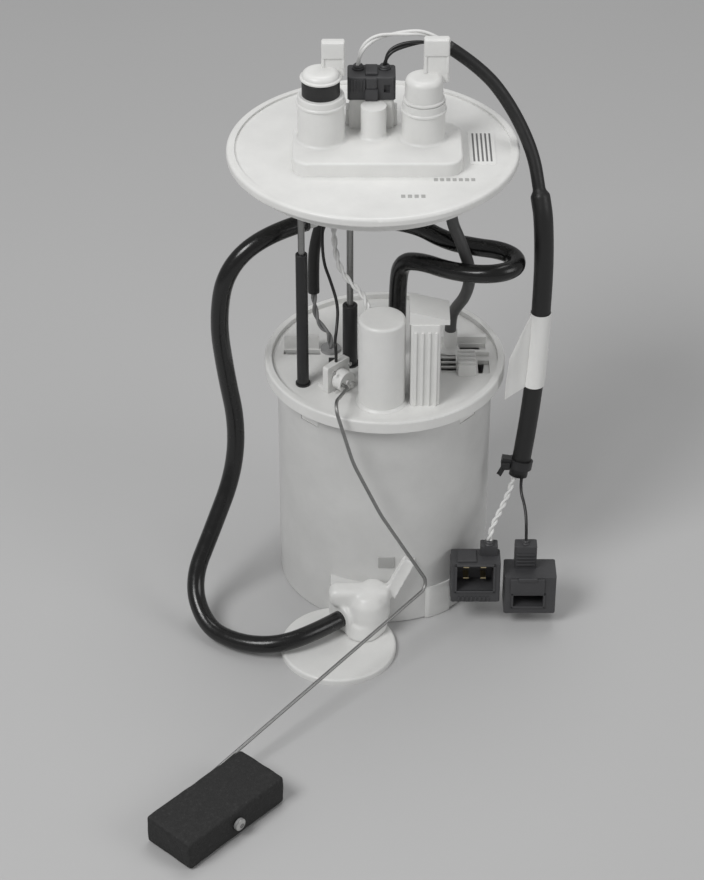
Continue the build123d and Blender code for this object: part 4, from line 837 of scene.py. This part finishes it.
closePiece(bm, "clipRing", "zincSteel", "sender_arm")
print("float shaped")

# Flag label: paper wrapped round the sheath and stuck to itself, its tail standing out to the left
labelSpec = {
    "top": 0.1675, "bottom": 0.1265, "radius": 0.00525, "out": (-0.86, -0.5, 0), "thickness": 0.0003,
    "rows": 36, "columns": 12, "around": 40, "uneven": 0.00008,
    "wave": 0.0005, "ripple": 160, "crease": 1.4,
    # height and reach of the tail's outer edge
    "tail": ((0.1675, 0.0053), (0.1570, 0.0122), (0.1465, 0.0174), (0.1320, 0.0174), (0.1225, 0.0170)),
}


# The middle of the harness at a height
def sheathAt(height):
    line = cordLines["harnessSheath"]
    below = next(index for index, point in enumerate(line) if point.z <= height)
    upper, lower = line[below - 1], line[below]
    return upper.lerp(lower, (upper.z - height) / (upper.z - lower.z))


def tailReach(height):
    edge = labelSpec["tail"]
    for (upperZ, upperReach), (lowerZ, lowerReach) in zip(edge, edge[1:]):
        if height >= lowerZ:
            return upperReach + (lowerReach - upperReach) * (upperZ - height) / (upperZ - lowerZ)
    return edge[-1][1]


bm = bmesh.new()
out = Vector(labelSpec["out"]).normalized()
broad = out.cross(Vector((0, 0, 1)))
rows, columns, around = labelSpec["rows"], labelSpec["columns"], labelSpec["around"]
wrap = []
for row in range(rows + 1):
    height = labelSpec["top"] + (labelSpec["bottom"] - labelSpec["top"]) * row / rows
    middle = sheathAt(height)
    ring = []
    for k in range(around):
        angle = 2 * pi * k / around
        way = out * cos(angle) + broad * sin(angle)
        radius = labelSpec["radius"] + labelSpec["uneven"] * noise.noise(Vector((angle, height * 90, 3)))
        ring.append(bm.verts.new(middle + way * radius))
    wrap.append(ring)
for upper, lower in zip(wrap, wrap[1:]):
    for k in range(around):
        after = (k + 1) % around
        bm.faces.new((upper[k], lower[k], lower[after], upper[after]))
sheet = []
tailTop, tailBottom = labelSpec["tail"][0][0], labelSpec["tail"][-1][0]
for row in range(rows + 1):
    share = row / rows
    outer = tailTop + (tailBottom - tailTop) * share
    inner = labelSpec["top"] + (labelSpec["bottom"] - labelSpec["top"]) * share
    line = []
    for column in range(columns + 1):
        part = column / columns
        height = inner + (outer - inner) * part
        distance = labelSpec["radius"] + (tailReach(outer) - labelSpec["radius"]) * part
        crease = labelSpec["crease"] * noise.noise(Vector((part * 2, height * 60, 7)))
        sway = labelSpec["wave"] * part * (sin(height * labelSpec["ripple"]) + crease)
        line.append(bm.verts.new(sheathAt(height) + out * distance + broad * sway))
    sheet.append(line)
for upper, lower in zip(sheet, sheet[1:]):
    for column in range(columns):
        bm.faces.new((upper[column], upper[column + 1], lower[column + 1], lower[column]))
bmesh.ops.recalc_face_normals(bm, faces=bm.faces)
paper = bpy.data.meshes.new("flagPaper")
bm.to_mesh(paper)
bm.free()
carrier = bpy.data.objects.new("flagPaperRaw", paper)
bpy.context.collection.objects.link(carrier)
thicken = carrier.modifiers.new("paper", "SOLIDIFY")
thicken.thickness = labelSpec["thickness"]
thicken.offset = 0
flagLabel = dressPiece(applied(carrier), "flagLabel", "paper", None, 60)
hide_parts("flag_label")
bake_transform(flagLabel)
print("flag label wrapped")

# Cable tie: a cap over its lock, and the cut end of its tail
tieSpec = {
    "capIn": 0.0022, "capSide": 0.0020, "capSize": (0.0046, 0.0044, 0.0040),
    "tailShift": (-0.0016, -0.0012, -0.0016), "tailSize": (0.0072, 0.0026, 0.0009),
    "tailAlong": (-0.5, -0.4, -0.77), "tailUp": (-0.7, -0.3, 0.6),
}
tieLow, tieHigh = (Vector(corner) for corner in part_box("cable_tie"))
capY, capZ = (tieLow.y + tieHigh.y) / 2 - tieSpec["capSide"], (tieLow.z + tieHigh.z) / 2
capAt = Vector((tieLow.x + tieSpec["capIn"], capY, capZ))
bm = bmesh.new()
addBlock(bm, capAt + Vector(tieSpec["tailShift"]), tieSpec["tailSize"], along=tieSpec["tailAlong"],
         up=tieSpec["tailUp"], rounding=0.0002)
addBlock(bm, capAt, tieSpec["capSize"], rounding=0.0006)
closePiece(bm, "tieTail", "blackPlastic", "pot")
print("cable tie trimmed")

# Loose connectors: rails round the openings, locking tongues, ribs, and seals at the wires
connectorSpec = {
    # a front corner of each housing, and its opening's lower left and upper right from there
    "openings": (
        ((0.0348, -0.058, 0.0165), (0.0030, 0.0074), (0.0218, 0.0234)),
        ((0.0628, -0.058, 0.0088), (0.0048, 0.0047), (0.0204, 0.0121)),
    ),
    "rail": 0.0012, "proud": 0.0006,
    # tongues and rails on the housings: middle, size and rounding
    "tongues": (
        ((0.0748, -0.0581, 0.0268), (0.0180, 0.0014, 0.0094), 0.0005),
        ((0.0748, -0.0586, 0.0312), (0.0100, 0.0014, 0.0022), 0.0005),
        ((0.0888, -0.0500, 0.0206), (0.0022, 0.0130, 0.0200), 0.0006),
        ((0.0356, -0.0512, 0.0288), (0.0022, 0.0110, 0.0206), 0.0006),
        ((0.0430, -0.0512, 0.0414), (0.0100, 0.0100, 0.0014), 0.0005),
    ),
    # wire seals: place and radius
    "seals": (((0.0545, -0.0476, 0.0466), 0.0027), ((0.0738, -0.0466, 0.0459), 0.0020)),
}
bm = bmesh.new()
rail, proud = connectorSpec["rail"], connectorSpec["proud"]
for front, low, high in connectorSpec["openings"]:
    corner = Vector(front)
    left, right = corner.x + low[0], corner.x + high[0]
    foot, top = corner.z + low[1], corner.z + high[1]
    upright = (rail, 2 * proud, top - foot + 2 * rail)
    level = (right - left + 2 * rail, 2 * proud, rail)
    for x in (left - rail / 2, right + rail / 2):
        addBlock(bm, (x, corner.y, (foot + top) / 2), upright, rounding=0.0003)
    for z in (foot - rail / 2, top + rail / 2):
        addBlock(bm, ((left + right) / 2, corner.y, z), level, rounding=0.0003)
for middle, size, rounding in connectorSpec["tongues"]:
    addBlock(bm, middle, size, rounding=rounding)
for place, radius in connectorSpec["seals"]:
    addTurned(bm, place, [
        (0, 0), (radius, 0), (radius, 0.0008), (radius - 0.0004, 0.0012), (radius - 0.0004, 0.0020),
        (radius - 0.0009, 0.0026), (0, 0.0026),
    ], sides=26)
closePiece(bm, "connectorHoods", "connectorPlastic", "pot")
leftRibs = {
    "start": (0.0390, -0.0583, 0.0186), "step": (0.0022, 0, 0), "count": 8, "size": (0.0009, 0.0008, 0.0030),
}
neckRibs = {
    "start": (0.0738, -0.0504, 0.0350), "step": (0, 0, 0.0022), "count": 4, "size": (0.0098, 0.0010, 0.0009),
}
barRow("leftConnectorRibs", "connectorPlastic", "pot", "dark_grey_plastic", **leftRibs)
barRow("neckRibs", "connectorPlastic", "pot", "dark_grey_plastic", **neckRibs)
print("connectors detailed")

# Pot: a foot at the right of its base, and the shallow window above the jet pump, drawn as a thin block whose
# pale grey is painted shade
potSpec = {
    "radius": 0.0555, "footFrom": -67, "footTo": -51, "footTop": 0.0205,  # from and to in degrees
    "proud": 0.0011, "sunk": 0.0008, "steps": 14, "endTaper": 0.15,
    "windowShadeAt": (0.0010, -0.0552, 0.0405), "windowShadeSize": (0.0085, 0.0012, 0.0070),
}
bm = bmesh.new()
proud, sunk, footTop, steps = potSpec["proud"], potSpec["sunk"], potSpec["footTop"], potSpec["steps"]
profile = [
    (-sunk, 0.0002), (proud * 0.7, 0.0002), (proud, 0.0008), (proud, footTop - 0.0012),
    (proud * 0.6, footTop - 0.0004), (-sunk, footTop),
]
ribs = []
for step in range(steps + 1):
    angle = radians(potSpec["footFrom"] + (potSpec["footTo"] - potSpec["footFrom"]) * step / steps)
    taper = potSpec["endTaper"] if step in (0, steps) else 1.0
    rib = []
    for depth, height in profile:
        reach = potSpec["radius"] + (depth * taper if depth > 0 else depth)
        rib.append(bm.verts.new((reach * cos(angle), reach * sin(angle), height)))
    ribs.append(rib)
for first, second in zip(ribs, ribs[1:]):
    for k in range(len(profile)):
        after = (k + 1) % len(profile)
        bm.faces.new((first[k], second[k], second[after], first[after]))
bm.faces.new(ribs[0])
bm.faces.new(list(reversed(ribs[-1])))
closePiece(bm, "potFoot", "whitePlastic", "pot")
# The window is a thin block whose pale grey is painted shade of the recess, not a colour of the pot
bm = bmesh.new()
addBlock(bm, potSpec["windowShadeAt"], potSpec["windowShadeSize"], rounding=0.0004)
closePiece(bm, "potWindowShade", "paleMarkAndShade", "pot")
print("pot detailed")

# Guide springs: each coil a merged copy of its CAD node, with a mesh of its own
springSpec = {"travel": 0.030, "nodes": ("guide_spring_left", "guide_spring_centre")}
for node in springSpec["nodes"]:
    low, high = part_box(node)
    mesh = bpy.data.meshes.new(node + "Mesh")
    bm = mergedCopy(node)
    bm.to_mesh(mesh)
    bm.free()
    spring = dressPiece(mesh, node + "Coil", "steel", "pot", 60)
    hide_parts(node)
    height = high[2] - low[2]
    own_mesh(spring)
print("springs dressed")

# Level sender: the axle's cap and the rivets of its housing
senderSpec = {
    "at": (-0.017, -0.033, 0.137), "capOut": 0.0001, "rivetsBack": 0.0068,
    "cap": ((0, 0), (0.0020, 0), (0.0020, 0.0006), (0.0016, 0.0011), (0.0008, 0.0013), (0, 0.0013)),
    "rivet": ((0, 0), (0.0011, 0), (0.0011, 0.0005), (0.0007, 0.0009), (0, 0.0010)),
    "rivetsAt": ((-0.0058, 0.0066), (0.0058, 0.0066), (-0.0058, -0.0034), (0.0058, -0.0034)),
}
senderAt = Vector(senderSpec["at"])
senderAcross = Vector((-armAxis.y, armAxis.x, 0))
bm = bmesh.new()
addTurned(bm, senderAt + armAxis * senderSpec["capOut"], senderSpec["cap"], axis=armAxis, sides=30)
for across, height in senderSpec["rivetsAt"]:
    place = senderAt - armAxis * senderSpec["rivetsBack"] + senderAcross * across + Vector((0, 0, height))
    addTurned(bm, place, senderSpec["rivet"], axis=armAxis, sides=20)
closePiece(bm, "senderRivets", "zincSteel", "pot")
print("sender detailed")

# Floor, backdrop and soft studio light
stageSpec = {
    "tone": 0.5, "mottle": 1.02, "grain": 3, "roughness": 0.85, "size": 12.0, "world": 0.30,
    "target": (0, 0, 0.15),
}
lampSpecs = {
    "keyLamp": {"place": (-0.9, -0.9, 1.5), "size": 0.8, "power": 17},
    "fillLamp": {"place": (1.3, -0.7, 0.9), "size": 0.9, "power": 4.5},
    "topLamp": {"place": (0.1, 0.5, 1.7), "size": 0.9, "power": 6},
}
floorMesh = bpy.data.meshes.new("floor")
half = stageSpec["size"] / 2
floorCorners = [(-half, -half, 0), (half, -half, 0), (half, half, 0), (-half, half, 0)]
floorMesh.from_pydata(floorCorners, [], [(0, 1, 2, 3)])
floor = bpy.data.objects.new("floor", floorMesh)
bpy.context.collection.objects.link(floor)
floorMat, floorNodes, floorLinks, floorShader = newMaterial("floorPaper")
floorSpace = objectSpace(floorNodes, floorLinks)
floorMottle = noiseAt(floorNodes, floorLinks, floorSpace, stageSpec["grain"])
floorTone = rampOf(floorNodes, floorLinks, floorMottle, [
    (0.3, stageSpec["tone"]), (0.7, stageSpec["tone"] * stageSpec["mottle"]),
])
floorLinks.new(floorTone, floorShader.inputs["Base Color"])
floorShader.inputs["Roughness"].default_value = stageSpec["roughness"]
floor.data.materials.append(floorMat)

world = bpy.data.worlds.new("studio")
world.use_nodes = True
background = world.node_tree.nodes["Background"]
background.inputs["Color"].default_value = (1, 1, 1, 1)
background.inputs["Strength"].default_value = stageSpec["world"]
bpy.context.scene.world = world


def softLamp(name, place, size, power):
    lamp = bpy.data.lights.new(name, "AREA")
    lamp.shape = "DISK"
    lamp.size = size
    lamp.energy = power
    obj = bpy.data.objects.new(name, lamp)
    obj.location = place
    obj.rotation_euler = (Vector(stageSpec["target"]) - Vector(place)).to_track_quat("-Z", "Y").to_euler()
    bpy.context.collection.objects.link(obj)


for lampName, lampSpec in lampSpecs.items():
    softLamp(lampName, **lampSpec)
bpy.context.scene.view_settings.view_transform = "Standard"
print("stage lit")
